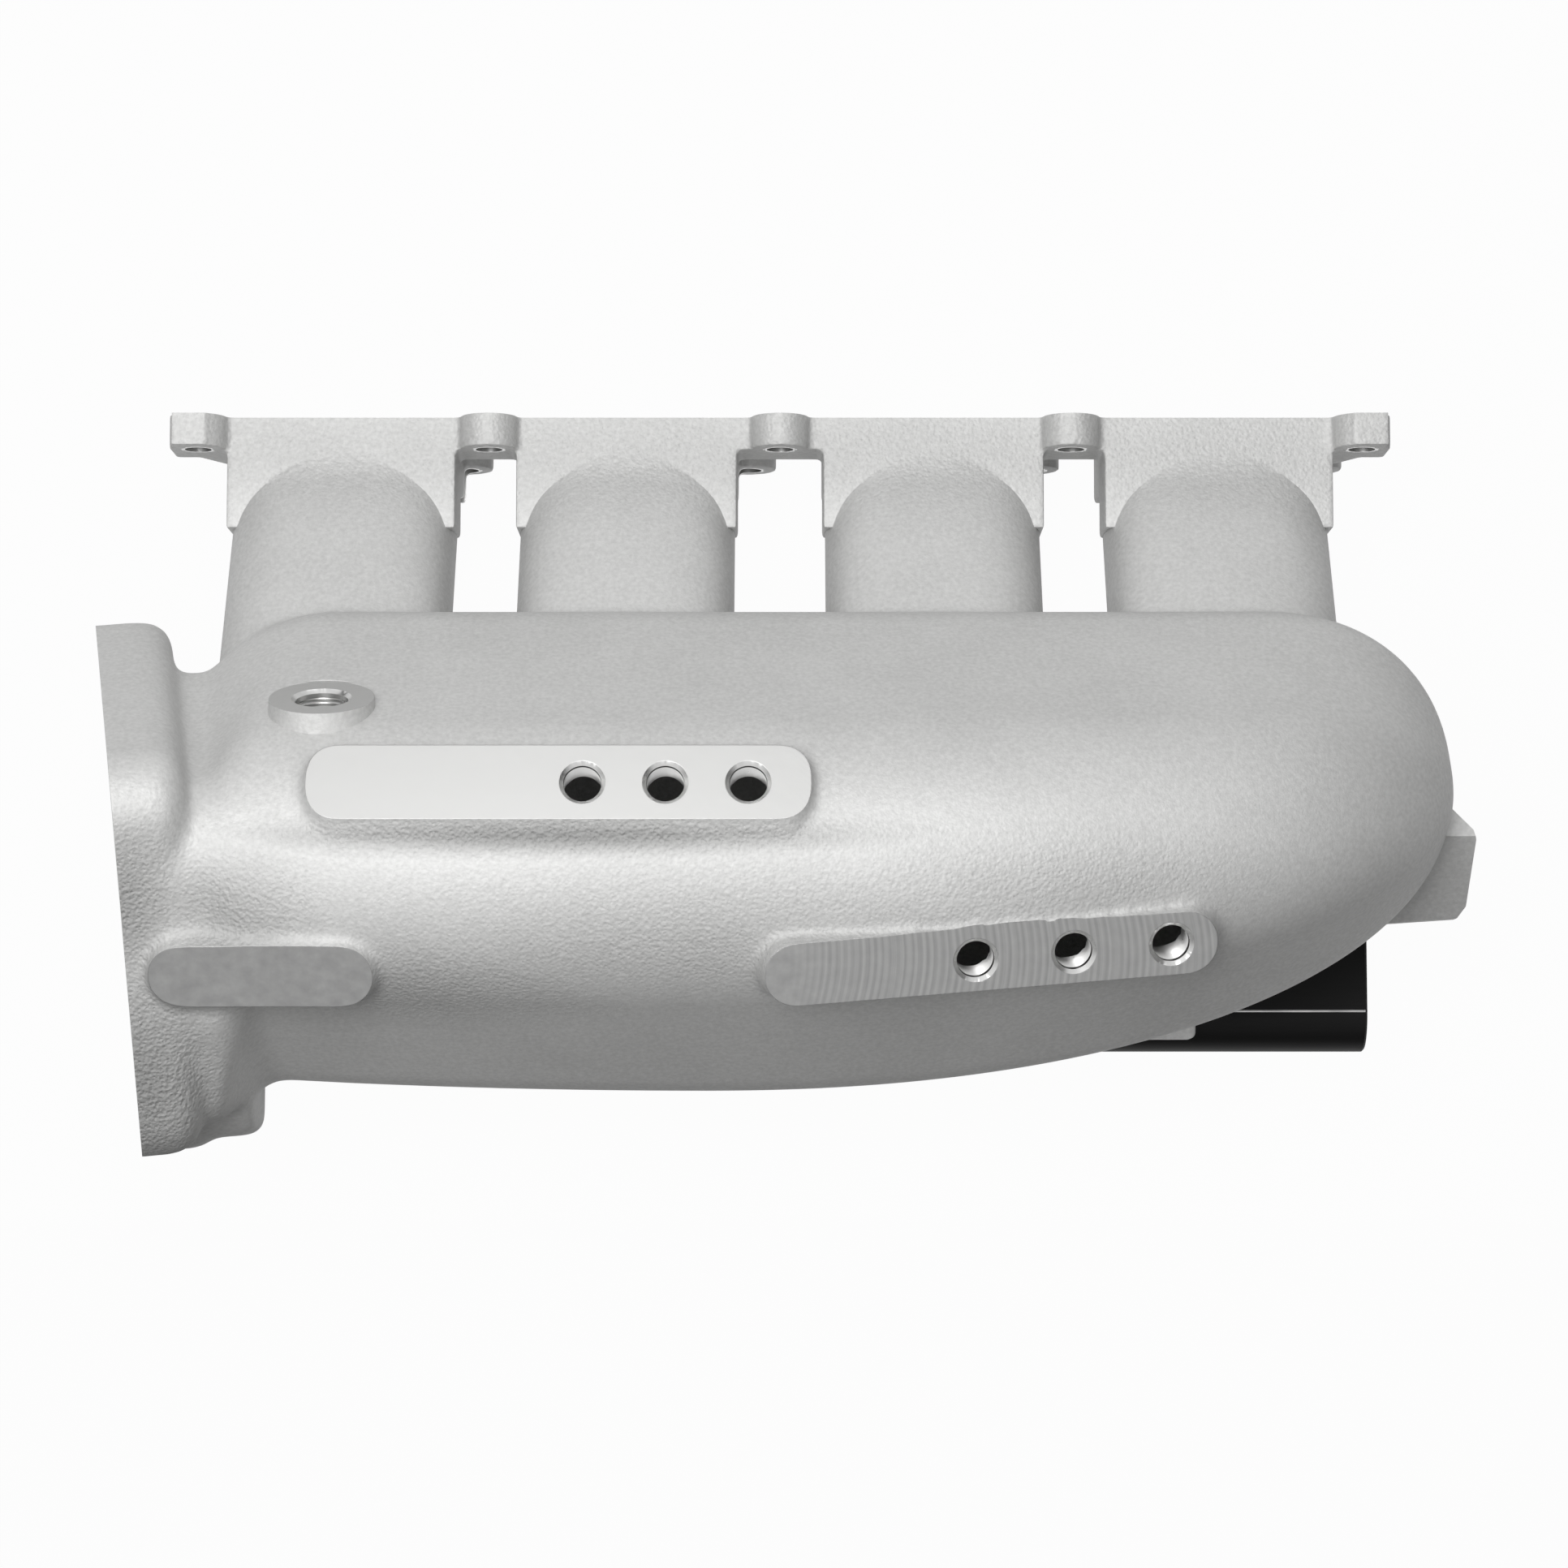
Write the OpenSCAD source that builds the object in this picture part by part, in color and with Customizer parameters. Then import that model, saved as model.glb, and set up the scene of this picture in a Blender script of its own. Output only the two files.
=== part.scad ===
// Four-runner intake manifold with its fuel rail and injectors.
// X runs along the engine, +Y points at the cylinder head, +Z points up.
// The origin is the middle of the head flange's mating face, at the height of the port centres.

/* [Head flange] */
// Distance between neighbouring upper bolt holes
bolt_pitch = 94; // [90:0.5:98]
// Outward shift of each inner port from the middle of its pair of bolt holes
inner_port_shift = 2.5; // [1:0.5:4]
// Outward shift of each outer port from the middle of its pair of bolt holes
outer_port_shift = 0.7; // [0:0.1:3]
// Thickness of the head flange
flange_t = 10.5; // [8:0.5:14]
// Height of the upper bolt holes over the port centres
upper_hole_z = 24; // [23:0.5:26]
// Depth of the lower bolt holes under the port centres
lower_hole_z = 17.5; // [15:0.5:19]
// Sideways shift of each lower bolt hole from the upper one
lower_hole_shift = 10.5; // [9:0.5:12]
// Diameter of the flange bolt holes
flange_hole_d = 8.6; // [6.6:0.1:9]
// Radius of the bolt lugs
lug_r = 9.2; // [8:0.1:10]
// Height of the web between two ports
web_h = 20; // [14:0.5:24]
// Length of the gusset under each end lug
gusset_run = 17; // [12:0.5:20]

/* [Runners] */
// Width of an outer runner's root at the flange
outer_root_w = 74; // [72:0.5:76]
// Width of an inner runner's root at the flange
inner_root_w = 71.5; // [70:0.5:74]
// Step from a runner's root down to its tube, on each side
root_step = 0.9; // [0.5:0.1:1.5]
// Outer height of a runner
runner_h = 48; // [44:0.5:50]
// Wall of a runner
runner_wall = 5; // [3.5:0.25:6]
// Squareness of a runner's section, where 2 is an ellipse
runner_square = 3; // [2.4:0.1:4]
// Angle at which the runners climb to the plenum
runner_climb = 33; // [28:1:36]
// Bend radius of a runner's centre line
runner_bend = 45; // [40:1:55]
// Length of the flat roof behind the flange
roof_len = 25.5; // [18:0.5:30]
// Flare of a runner's mouth inside the plenum
mouth_flare = 3; // [1:0.25:4]

/* [Plenum] */
// Where the plenum's crest lies behind the mating face
crest_back = 150; // [148:0.5:152]
// Height of the plenum's crest over the port centres
crest_z = 153; // [149:0.5:156]
// Radius of the plenum's crown
crown_r = 49; // [44:0.5:54]
// Height of the nose tip, about which the section tapers
nose_z = 70; // [66:0.5:74]
// Distance of the nose tip from the middle
nose_x = 208.5; // [203:0.5:212]
// How far the nose tip lies behind the mating face
nose_back = 125; // [122:0.5:130]
// Reach of the plenum's rear wall towards the head, from the crest
rear_reach = 81.5; // [78:0.5:83]
// Reach of the plenum's front wall away from the head, from the crest
front_reach = 69; // [66:0.5:74]
// Height of the plenum's underside over the port centres
belly_z = 4; // [2:0.5:8]
// Wall of the plenum
plenum_wall = 5; // [4:0.25:6]
// Where the plenum ends and the throttle neck begins
neck_x = 154; // [153:0.5:156]

/* [Throttle flange] */
// Distance of the throttle face's centre from the middle
throttle_x = 203; // [200:0.5:208]
// How far the throttle face's centre lies behind the mating face
throttle_back = 156; // [154:0.5:158]
// Height of the throttle face's centre
throttle_z = 81.5; // [79:0.5:84]
// Tilt of the throttle face away from the head
throttle_yaw = 5.8; // [4:0.1:7]
// Tilt of the throttle face upwards
throttle_pitch = 8.3; // [6:0.1:9]
// Roll of the square throttle flange about its bore
throttle_roll = 18.6; // [15:0.1:22]
// Side of the square throttle flange
throttle_side = 140; // [136:0.5:142]
// Corner radius of the throttle flange
throttle_corner = 18; // [14:0.5:20]
// Thickness of the throttle flange at its middle
throttle_t = 21; // [18:0.5:23]
// Taper of the throttle flange, thinner away from the head
throttle_taper = 1.7; // [1:0.1:3]
// Diameter of the throttle bore
throttle_bore_d = 80; // [70:0.5:84]
// Bolt circle of the throttle flange
throttle_pcd = 138; // [134:0.5:142]
// Tapping diameter of the throttle bolts
throttle_tap_d = 6.8; // [5:0.1:8.5]
// Depth of the throttle bolt holes
throttle_tap_len = 16; // [10:0.5:18]

/* [Pads and bosses] */
// Bore of the small threaded ports
port_tap_d = 11.2; // [8.5:0.1:12]
// Chamfer diameter at the mouth of a small threaded port
port_chamfer_d = 13.4; // [13:0.1:15]
// Length of the upper pad
upper_pad_len = 147.5; // [130:0.5:150]
// Width of the upper pad
upper_pad_w = 22.4; // [20:0.1:24]
// Pitch of the upper pad's threaded ports
upper_pitch = 24.2; // [22:0.1:26]
// Length of the lower pad
lower_pad_len = 135; // [120:0.5:138]
// Width of the lower pad
lower_pad_w = 19.4; // [18:0.1:21]
// Pitch of the lower pad's threaded ports
lower_pitch = 29.2; // [27:0.1:31]
// Length of the blank pad
blank_pad_len = 66; // [56:0.5:68]
// Width of the blank pad
blank_pad_w = 20; // [18:0.1:22]
// Diameter of the round sensor boss
sensor_boss_d = 31.5; // [28:0.5:33]
// Bore of the round sensor boss
sensor_tap_d = 16.4; // [14:0.1:17]
// Width of a rail leg along the engine
leg_w = 19.5; // [16:0.5:22]
// Distance of each rail leg from the middle
leg_x = 124.7; // [123:0.1:126]

/* [Fuel rail] */
// Where the rail's left end lies from the middle
rail_left = 168; // [165:0.5:172]
// Where the rail's right end lies from the middle
rail_right = 191.5; // [185:0.1:194]
// How far the centre of the rail's round front edge lies behind the mating face
rail_back = 191; // [189:0.1:192]
// Radius of the rail's round front edge, which is half its thickness
rail_r = 12.5; // [11.5:0.1:13]
// Width of the rail from the centre of its round front edge
rail_block_w = 35.5; // [33:0.5:37]
// Depth of the injector axes under the port centres
injector_z = 17; // [16:0.5:18]
// Bore of the fuel gallery
gallery_d = 13; // [10:0.5:14]
// Thread diameter of the rail's end ports
end_thread_d = 15.8; // [14:0.1:17]
// Nominal diameter of the rail bolts
rail_bolt_d = 6; // [5:0.5:8]

/* [Injectors] */
// Distance between an injector's two seals
seal_span = 60; // [58:0.5:62]
// Bore of the injector cups and seats
cup_d = 14; // [13.5:0.1:15]
// Outer diameter of an injector boss
boss_d = 23; // [21:0.5:24]
// Diameter of an injector's coil housing
injector_d = 17; // [15:0.5:18]

/* [Hidden] */

$fn = 48;
fit = 0.1;              // radial clearance of a piece in its bore
skin_fn = 40;           // points round the plenum's section
runner_fn = 32;         // points round a runner's section
inner_port_x = bolt_pitch / 2 + inner_port_shift;
outer_port_x = 3 * bolt_pitch / 2 + outer_port_shift;
port_x = [-outer_port_x, -inner_port_x, inner_port_x, outer_port_x];
root_w = [outer_root_w, inner_root_w, inner_root_w, outer_root_w];
bolt_x = [for (i = [-2:2]) i * bolt_pitch];
end_x = 2 * bolt_pitch;
cast = [0.78, 0.78, 0.77];
machined = [0.9, 0.9, 0.9];
anodised = [0.08, 0.08, 0.09];
rubber = [0.1, 0.1, 0.1];
steel = [0.6, 0.6, 0.62];
plastic = [0.15, 0.16, 0.18];

// ---------- shared shapes ----------

// A closed skin over rings of points. A looped skin is a tube with a wall, from its outer rings
// and then its inner ones. An open one is closed by a flat face at each end. The rings turn from
// +X or +Y towards +Z, and the outer ones run towards +X or -Y.
module skin(rings, loop = false) {
    n = len(rings[0]);
    m = len(rings);
    last = loop ? m - 1 : m - 2;
    sides = [for (i = [0:last], j = [0:n - 1], k = [0, 1])
        let (a = i * n, b = ((i + 1) % m) * n, q = (j + 1) % n)
        k == 0 ? [a + j, b + q, a + q] : [a + j, b + j, b + q]];
    ends = loop ? [] : [[for (j = [0:n - 1]) j], [for (j = [n - 1:-1:0]) (m - 1) * n + j]];
    polyhedron(points = [for (r = rings, p = r) p], faces = concat(sides, ends), convexity = 8);
}

// The circle of a rounded outline that reaches furthest towards angle a
function furthest(c, a) =
    let (h = [for (k = c) k[0] * cos(a) + k[1] * sin(a) + k[2]], top = max(h))
    c[[for (i = [0:len(c) - 1]) if (h[i] == top) i][0]];

// The point where a tight band round the circles c, drawn in by w, faces along angle a
function band_point(c, a, w) =
    let (k = furthest(c, a), r = k[2] - w)
    [k[0] + r * cos(a), k[1] + r * sin(a)];

function back_to_front(v) = [for (i = [len(v) - 1:-1:0]) v[i]];

// A quarter of a superellipse: 1 at its start, 0 at its end
function quarter(u, n) = u <= 0 ? 1 : u >= 1 ? 0 : pow(1 - pow(u, n), 1 / n);

module rounded(w, h, r) {
    square([w - 2 * r, h], center = true);
    square([w, h - 2 * r], center = true);
    for (x = [-1, 1], y = [-1, 1])
        translate([x * (w / 2 - r), y * (h / 2 - r)]) circle(r);
}

// A ring of round section, such as an O-ring, lying in the XY plane
module o_ring(r_mid, r_section) {
    rotate_extrude() translate([r_mid, 0]) circle(r_section);
}

// ---------- runner shape ----------

// The centre line leaves the flange straight back, bends up and then climbs straight
bend_end = [-flange_t - runner_bend * sin(runner_climb), runner_bend * (1 - cos(runner_climb))];
runner_len = 76;        // straight climb from the end of the bend to the mouth in the plenum
bend_steps = 4;

// One ring of a runner: centre y and z, its lean, and the half width and half height there
function runner_ring(x, y, z, lean, hw, hh) = [for (i = [0:runner_fn - 1])
    let (a = 360 * i / runner_fn, c = cos(a), s = sin(a),
        px = hw * sign(c) * pow(abs(c), 2 / runner_square),
        pz = hh * sign(s) * pow(abs(s), 2 / runner_square))
    [x + px, y + pz * sin(lean), z + pz * cos(lean)]];

function tube_half(i) = root_w[i] / 2 - root_step;

// A ring of runner i, d up the climb and drawn in by w
function climb_ring(i, d, w) =
    runner_ring(port_x[i], bend_end[0] - d * cos(runner_climb), bend_end[1] + d * sin(runner_climb),
        runner_climb, tube_half(i) - w, runner_h / 2 - w);

// Rings of runner i drawn in by w, which starts over the flange's back by lead
function runner_rings(i, w, lead) = concat(
    lead > 0 ? [runner_ring(port_x[i], lead - flange_t, 0, 0, tube_half(i) - w, runner_h / 2 - w)] : [],
    [for (k = [0:bend_steps])
        let (a = runner_climb * k / bend_steps)
        runner_ring(port_x[i], -flange_t - runner_bend * sin(a), runner_bend * (1 - cos(a)), a,
            tube_half(i) - w, runner_h / 2 - w)]);

// ---------- plenum shape ----------

// Circles whose band is the plenum's section, about the crest line and the nose height
rear_r = 32;
front_r = 30;
belly_r = 50;
plenum_circles = [[0, crest_z - crown_r - nose_z, crown_r], [rear_reach - rear_r, -9, rear_r],
    [front_r - front_reach, -4, front_r], [0, belly_z + belly_r - nose_z, belly_r]];
rear_round_x = 150;     // where the rear wall starts to round into the nose
front_round_x = -23;    // where the front wall starts to sweep in
crown_round_x = 10;     // where the crown starts to fall
belly_round_x = 60;     // where the underside starts to rise
rear_left_x = -140;     // where the rear wall starts to draw in at the neck
rear_draw = 0.0141;     // how hard it draws in, per millimetre
front_draw = 0.0002;    // how hard the front wall draws in towards the neck

// A ring of the plenum at x, drawn in by w. The rear and front walls, the crest and the belly
// each follow their own quarter curve to the nose tip.
function plenum_ring(x, w) =
    let (tip = nose_x - w,
        rear = quarter((x - rear_round_x) / (tip - rear_round_x), 2.25),
        front = quarter((x - front_round_x) / (tip - front_round_x), 2.25),
        crown = quarter((x - crown_round_x) / (tip - crown_round_x), 2.1),
        belly = quarter((x - belly_round_x) / (tip - belly_round_x), 2.2),
        mid = -nose_back - (crest_back - nose_back) * front,
        to_rear = (rear_reach - crest_back + nose_back) * rear - mid - nose_back
            - rear_draw * pow(max(rear_left_x - x, 0), 2),
        to_front = (front_reach + crest_back - nose_back) * front + mid + nose_back
            - front_draw * pow(max(front_round_x - x, 0), 2))
    [for (i = [0:skin_fn - 1])
        let (p = band_point(plenum_circles, 360 * i / skin_fn, w))
        [x, mid + (p[0] > 0 ? p[0] * to_rear / rear_reach : p[0] * to_front / front_reach),
            nose_z + p[1] * (p[1] > 0 ? crown : belly)]];

// Places of the rings: even along the body, and closer together round the nose
body_x = [-neck_x, -140, -100, -55, -10];
nose_steps = 13;
function ring_places(w) = concat(body_x, [for (i = [1:nose_steps])
    body_x[4] + (nose_x - w - body_x[4]) * sin(89.2 * i / nose_steps)]);

module plenum_solid() {
    skin([for (x = ring_places(0)) plenum_ring(x, 0)]);
}

// A stretch of the plenum's outer shape from place i to place j, for seating what is cast on it
module plenum_stretch(i, j) {
    p = ring_places(0);
    skin([for (k = [i:j]) plenum_ring(p[k], 0)]);
}

// ---------- throttle end ----------

throttle_at = [-throttle_x, -throttle_back, throttle_z];
face_out = [-cos(throttle_pitch) * cos(throttle_yaw), -cos(throttle_pitch) * sin(throttle_yaw),
    sin(throttle_pitch)];
face_rear = [-sin(throttle_yaw), cos(throttle_yaw), 0];
face_up = cross(face_rear, face_out);
neck_inset = 11;        // step from the flange's edge down to the neck
neck_corner = 28;       // corner radius of the neck behind the flange
neck_relief = 1.5;      // step from the throttle bore out to the neck's passage

module at_throttle() {
    translate(throttle_at) rotate([0, 90 - throttle_pitch, 180 + throttle_yaw]) children();
}

// Corner circles of a square of half side h, lifted by up, in the throttle face's own plane
function square_circles(h, r, up) = [for (i = [-1, 1], j = [-1, 1])
    let (u = i * (h - r), v = j * (h - r) + up, c = cos(throttle_roll), s = sin(throttle_roll))
    [u * c - v * s, u * s + v * c, r]];

// A ring on the tapered back of the throttle flange
function back_ring(circles) = [for (i = [0:skin_fn - 1])
    let (p = band_point(circles, 360 * i / skin_fn, 0))
    throttle_at - face_out * (throttle_t + p[0] * tan(throttle_taper)) + face_rear * p[0] + face_up * p[1]];

neck_circles = square_circles(throttle_side / 2 - neck_inset, neck_corner, neck_inset);
neck_places = [0, 0.15, 0.32, 0.5, 0.7, 1];
neck_done = 0.7;        // share of the neck's length over which its section changes
function blend_rings(from, to) = [for (s = neck_places)
    let (e = pow(min(s / neck_done, 1), 1.5))
    [for (j = [0:skin_fn - 1])
        [from[j][0] * (1 - s) + to[j][0] * s, from[j][1] * (1 - e) + to[j][1] * e,
            from[j][2] * (1 - e) + to[j][2] * e]]];
neck_outer = blend_rings(plenum_ring(-neck_x, 0), back_ring(neck_circles));
neck_inner = blend_rings(plenum_ring(-neck_x, plenum_wall),
    back_ring([[0, 0, throttle_bore_d / 2 + neck_relief]]));

module throttle_neck() {
    color(cast) difference() {
        skin(concat(back_to_front(neck_outer), neck_inner), loop = true);
        runner_way(0);
    }
}

module flange_blank() {
    deep = 1.5 * throttle_t;
    difference() {
        at_throttle() rotate([0, 0, -throttle_roll]) translate([0, 0, -deep])
            linear_extrude(deep) rounded(throttle_side, throttle_side, throttle_corner);
        at_throttle() translate([0, 0, -throttle_t]) rotate([throttle_taper, 0, 0])
            translate([-throttle_side, -throttle_side, -deep])
                cube([2 * throttle_side, 2 * throttle_side, deep]);
    }
}

module throttle_flange() {
    color(cast) difference() {
        flange_blank();
        at_throttle() throttle_holes();
    }
}

module throttle_holes() {
    translate([0, 0, -1.5 * throttle_t]) cylinder(d = throttle_bore_d, h = 1.5 * throttle_t + 1, $fn = 96);
    for (k = [0:3]) rotate([0, 0, 45 + 90 * k - throttle_roll])
        translate([throttle_pcd / 2, 0, -throttle_tap_len])
            cylinder(d = throttle_tap_d, h = throttle_tap_len + 1);
}

// ---------- head flange and runners ----------

module port_outline(i) {
    polygon([for (p = runner_ring(0, 0, 0, 0, tube_half(i) - runner_wall, runner_h / 2 - runner_wall))
        [p[0], p[2]]]);
}

// The web between the ports, with a gusset under each end lug
module flange_web() {
    edge = [[end_x + 6, upper_hole_z - lug_r + 1], [end_x - gusset_run / 2, -upper_hole_z / 2],
        [end_x - gusset_run, -upper_hole_z / 2], [end_x - gusset_run, upper_hole_z - web_h]];
    mirrored = [for (i = [3:-1:0]) [-edge[i][0], edge[i][1]]];
    polygon(concat([[-end_x, runner_h / 2], [end_x, runner_h / 2]], edge, mirrored));
}

module head_flange() {
    color(cast) rotate([90, 0, 0]) difference() {
        union() {
            linear_extrude(flange_t) flange_web();
            for (i = [0:3]) translate([port_x[i] - root_w[i] / 2, -runner_h / 2, 0])
                cube([root_w[i], runner_h, flange_t]);
            for (x = bolt_x) translate([x, upper_hole_z, 0]) {
                cylinder(r = lug_r, h = flange_t);
                translate([-lug_r, -web_h + 4, 0]) cube([2 * lug_r, web_h - 4, flange_t]);
            }
            for (s = [-1, 1]) translate([s * (end_x + 2), upper_hole_z, 0])
                linear_extrude(flange_t) rounded(11, 2 * lug_r, 3);
            for (i = [1:4]) translate([bolt_x[i] - lower_hole_shift, -lower_hole_z, 0])
                cylinder(r = lug_r, h = flange_t);
        }
        for (i = [0:3]) translate([port_x[i], 0, -1]) linear_extrude(flange_t + 2) port_outline(i);
        for (x = bolt_x) translate([x, upper_hole_z, -1])
            cylinder(d = flange_hole_d, h = flange_t + 2);
        for (i = [1:4]) translate([bolt_x[i] - lower_hole_shift, -lower_hole_z, -1])
            cylinder(d = flange_hole_d, h = flange_t + 2);
    }
}

// The mouth of the injector boss, and where the seals and the rail's face then lie
rail_face = -rail_back + rail_block_w;
cup_depth = 14;
seal_depth = 6;
upper_seal_y = rail_face - seal_depth;
lower_seal_y = upper_seal_y + seal_span;
boss_mouth_y = lower_seal_y - seal_depth + 1;
spray_d = 8.5;

// The way a runner takes through the walls of the plenum and the neck
module runner_way(i) {
    skin([climb_ring(i, 20, 0), climb_ring(i, runner_len + 8, 0)]);
}

module runner(i) {
    x = port_x[i];
    w = root_w[i];
    mouth = climb_ring(i, runner_len, 0);
    throat = climb_ring(i, runner_len - 8, runner_wall);
    bell = climb_ring(i, runner_len + 1, runner_wall - mouth_flare);
    color(cast) difference() {
        union() {
            skin(concat(runner_rings(i, 0, 0), [mouth]));
            translate([x - w / 2, -flange_t - roof_len, 0]) cube([w, roof_len, runner_h / 2]);
            translate([x - w / 2, -flange_t - 10, -runner_h / 2]) cube([w, 10, runner_h / 2 + 1]);
            translate([x, boss_mouth_y, -injector_z]) rotate([-90, 0, 0])
                cylinder(d = boss_d, h = -flange_t - 8 - boss_mouth_y);
        }
        skin(concat(runner_rings(i, runner_wall, 1), [throat, bell]));
        translate([x, boss_mouth_y - 1, -injector_z]) rotate([-90, 0, 0])
            cylinder(d = cup_d, h = cup_depth + 1);
        translate([x, boss_mouth_y, -injector_z]) rotate([-90, 0, 0])
            cylinder(d = spray_d, h = -flange_t - 12 - boss_mouth_y);
    }
}

// ---------- plenum shell ----------

upper_pad_at = [-(upper_pad_len / 2 - 9.3), -130.4, 152.6];
upper_pad_tilt = 17;
upper_first_x = -57.5;  // left one of the three upper ports
lower_pad_at = [62.5, -181.3, 141];
lower_pad_tilt = 22;
lower_pad_swing = 5;
lower_pad_dip = 6;
lower_first = -5;       // left one of the three lower ports, from the pad's middle
sensor_at = [-136.5, -102.6, 125.8];
sensor_tilt = 66;
pad_depth = 16;

module at_upper_pad() { translate(upper_pad_at) rotate([-upper_pad_tilt, 0, 0]) children(); }
module at_lower_pad() {
    translate(lower_pad_at) rotate([lower_pad_tilt, lower_pad_dip, lower_pad_swing]) children();
}
module at_sensor() { translate(sensor_at) rotate([-sensor_tilt, 0, 0]) children(); }

module upper_ports(d, from, h) {
    for (i = [0:2]) translate([upper_first_x + i * upper_pitch - upper_pad_at[0], 0, from])
        cylinder(d = d, h = h);
}

module lower_ports(d, from, h) {
    for (i = [0:2]) translate([lower_first + i * lower_pitch, 0, from]) cylinder(d = d, h = h);
}

module plenum_shell() {
    outer = [for (x = ring_places(0)) plenum_ring(x, 0)];
    inner = [for (x = ring_places(plenum_wall)) plenum_ring(x, plenum_wall)];
    color(cast) difference() {
        skin(concat(back_to_front(inner), outer));
        for (i = [0:3]) runner_way(i);
        at_upper_pad() upper_ports(port_tap_d, -30, 40);
        at_lower_pad() lower_ports(port_tap_d, -30, 40);
        at_sensor() translate([0, 0, -30]) cylinder(d = sensor_tap_d, h = 40);
    }
}

// ---------- pads and bosses cast on the plenum ----------

module vacuum_pad() {
    color(machined) difference() {
        at_upper_pad() translate([0, 0, -pad_depth]) linear_extrude(pad_depth)
            rounded(upper_pad_len, upper_pad_w, 9);
        plenum_stretch(0, 6);
        at_upper_pad() {
            upper_ports(port_tap_d, -30, 40);
            for (i = [0:2]) translate([upper_first_x + i * upper_pitch - upper_pad_at[0], 0, -1.1])
                cylinder(d1 = port_tap_d, d2 = port_chamfer_d + 0.1, h = 1.2);
        }
    }
}

module sensor_pad() {
    color(machined) difference() {
        at_lower_pad() translate([0, 0, -pad_depth]) linear_extrude(pad_depth)
            rounded(lower_pad_len, lower_pad_w, lower_pad_w / 2 - 0.2);
        plenum_stretch(3, 13);
        at_lower_pad() {
            lower_ports(port_tap_d, -30, 40);
            for (i = [0:2]) translate([lower_first + i * lower_pitch, 0, -1.1])
                cylinder(d1 = port_tap_d, d2 = port_chamfer_d + 0.1, h = 1.2);
        }
    }
}

module sensor_boss() {
    color(machined) difference() {
        at_sensor() translate([0, 0, -20]) cylinder(d = sensor_boss_d, h = 20);
        plenum_stretch(0, 3);
        at_sensor() {
            translate([0, 0, -30]) cylinder(d = sensor_tap_d, h = 40);
            translate([0, 0, -1.4]) cylinder(d1 = sensor_tap_d, d2 = sensor_tap_d + 3.2, h = 1.5);
        }
    }
}

// The plain pad where the throttle flange runs into the plenum's shoulder
blank_at = [-152, -186.6, 141.5];
blank_tilt = 30;
blank_depth = 7;

module blank_pad() {
    color(cast) difference() {
        translate(blank_at) rotate([blank_tilt, 0, 0]) translate([0, 0, -blank_depth])
            linear_extrude(blank_depth) rounded(blank_pad_len, blank_pad_w, blank_pad_w / 2 - 0.2);
        plenum_stretch(0, 2);
        skin(back_to_front(neck_outer));
        flange_blank();
    }
}

// Bracket boss low on the nose, tapped from below
bracket_x = 201;
bracket_back = 143;
bracket_z = 30;
bracket_h = 34;
bracket_ridge = 22;     // height of the boss's outer edge under its sloped top
bracket_end = 16;       // from the hole's axis to the boss's outer edge
bracket_rear = 21;      // from the hole's axis to the boss's rear face
bracket_front = 19;     // from the hole's axis to the boss's front corner
bracket_root = 33;      // from the hole's axis back into the nose
bracket_round = 3;
bracket_tap_d = 6.8;
bracket_tap_len = 12;

module bracket_boss() {
    color(cast) difference() {
        translate([bracket_x, -bracket_back, bracket_z]) intersection() {
            linear_extrude(bracket_h) polygon([[-bracket_root, bracket_rear + 4], [0, bracket_rear],
                [bracket_end - 1, 2 * bracket_round], [bracket_end, bracket_round],
                [bracket_end - 2, bracket_round - bracket_front],
                [bracket_end - 1.5 * bracket_round, -bracket_front],
                [-bracket_end, -bracket_front - 2], [-bracket_root, -bracket_front + 2]]);
            rotate([90, 0, 0]) linear_extrude(3 * bracket_root, center = true)
                polygon([[-2 * bracket_root, -1], [bracket_end + 4, -1], [bracket_end + 4, bracket_ridge],
                    [0, bracket_h], [-2 * bracket_root, bracket_h]]);
        }
        plenum_solid();
        translate([bracket_x, -bracket_back, bracket_z - 1])
            cylinder(d = bracket_tap_d, h = bracket_tap_len + 1);
    }
}

// Solid lug that ties the throttle flange's front edge to the neck
lug_z = 70;
lug_h = 30;
lug_left = -186;
lug_right = -159;
lug_back = -206;
lug_front = -231.2;
lug_step = -237.8;      // front of the part that meets the flange
lug_round = 3;

module neck_lug() {
    color(cast) difference() {
        translate([0, 0, lug_z]) linear_extrude(lug_h) polygon([[lug_left, lug_back], [lug_left, lug_step],
            [lug_left + lug_round, lug_step], [lug_left + 3 * lug_round, lug_step + lug_round / 2],
            [lug_right - 5 * lug_round, lug_front - lug_round / 2], [lug_right - lug_round, lug_front],
            [lug_right, lug_front + lug_round], [lug_right, lug_back]]);
        plenum_stretch(0, 2);
        skin(back_to_front(neck_outer));
        flange_blank();
    }
}

// ---------- rail legs and fuel rail ----------

rail_top = -injector_z + rail_r;
rail_bottom = -injector_z - rail_r;
leg_overhang = 9;       // how far a leg reaches past the centre of the rail's round edge
leg_front = -rail_back - leg_overhang;
leg_deep = 34;
leg_h = 80;             // enough to run into the plenum, which trims it
bolt_edge = 6.5;        // from a rail bolt's axis to the leg's rear face
leg_bolt_y = leg_front + leg_deep - bolt_edge;
leg_round = 3;
leg_tap_len = 13;
end_thread_len = 14;
feed_d = 7;             // feed hole from the gallery to an injector cup
head_recess_d = 13;     // recess for a rail bolt's head
head_recess = 6.5;

module rail_leg(x) {
    color(cast) difference() {
        translate([x, leg_front + leg_deep / 2, rail_top]) linear_extrude(leg_h)
            rounded(leg_w, leg_deep, leg_round);
        plenum_solid();
        translate([x, leg_bolt_y, rail_top - 1]) cylinder(d = rail_bolt_d + 2 * fit, h = leg_tap_len + 1);
    }
}

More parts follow.
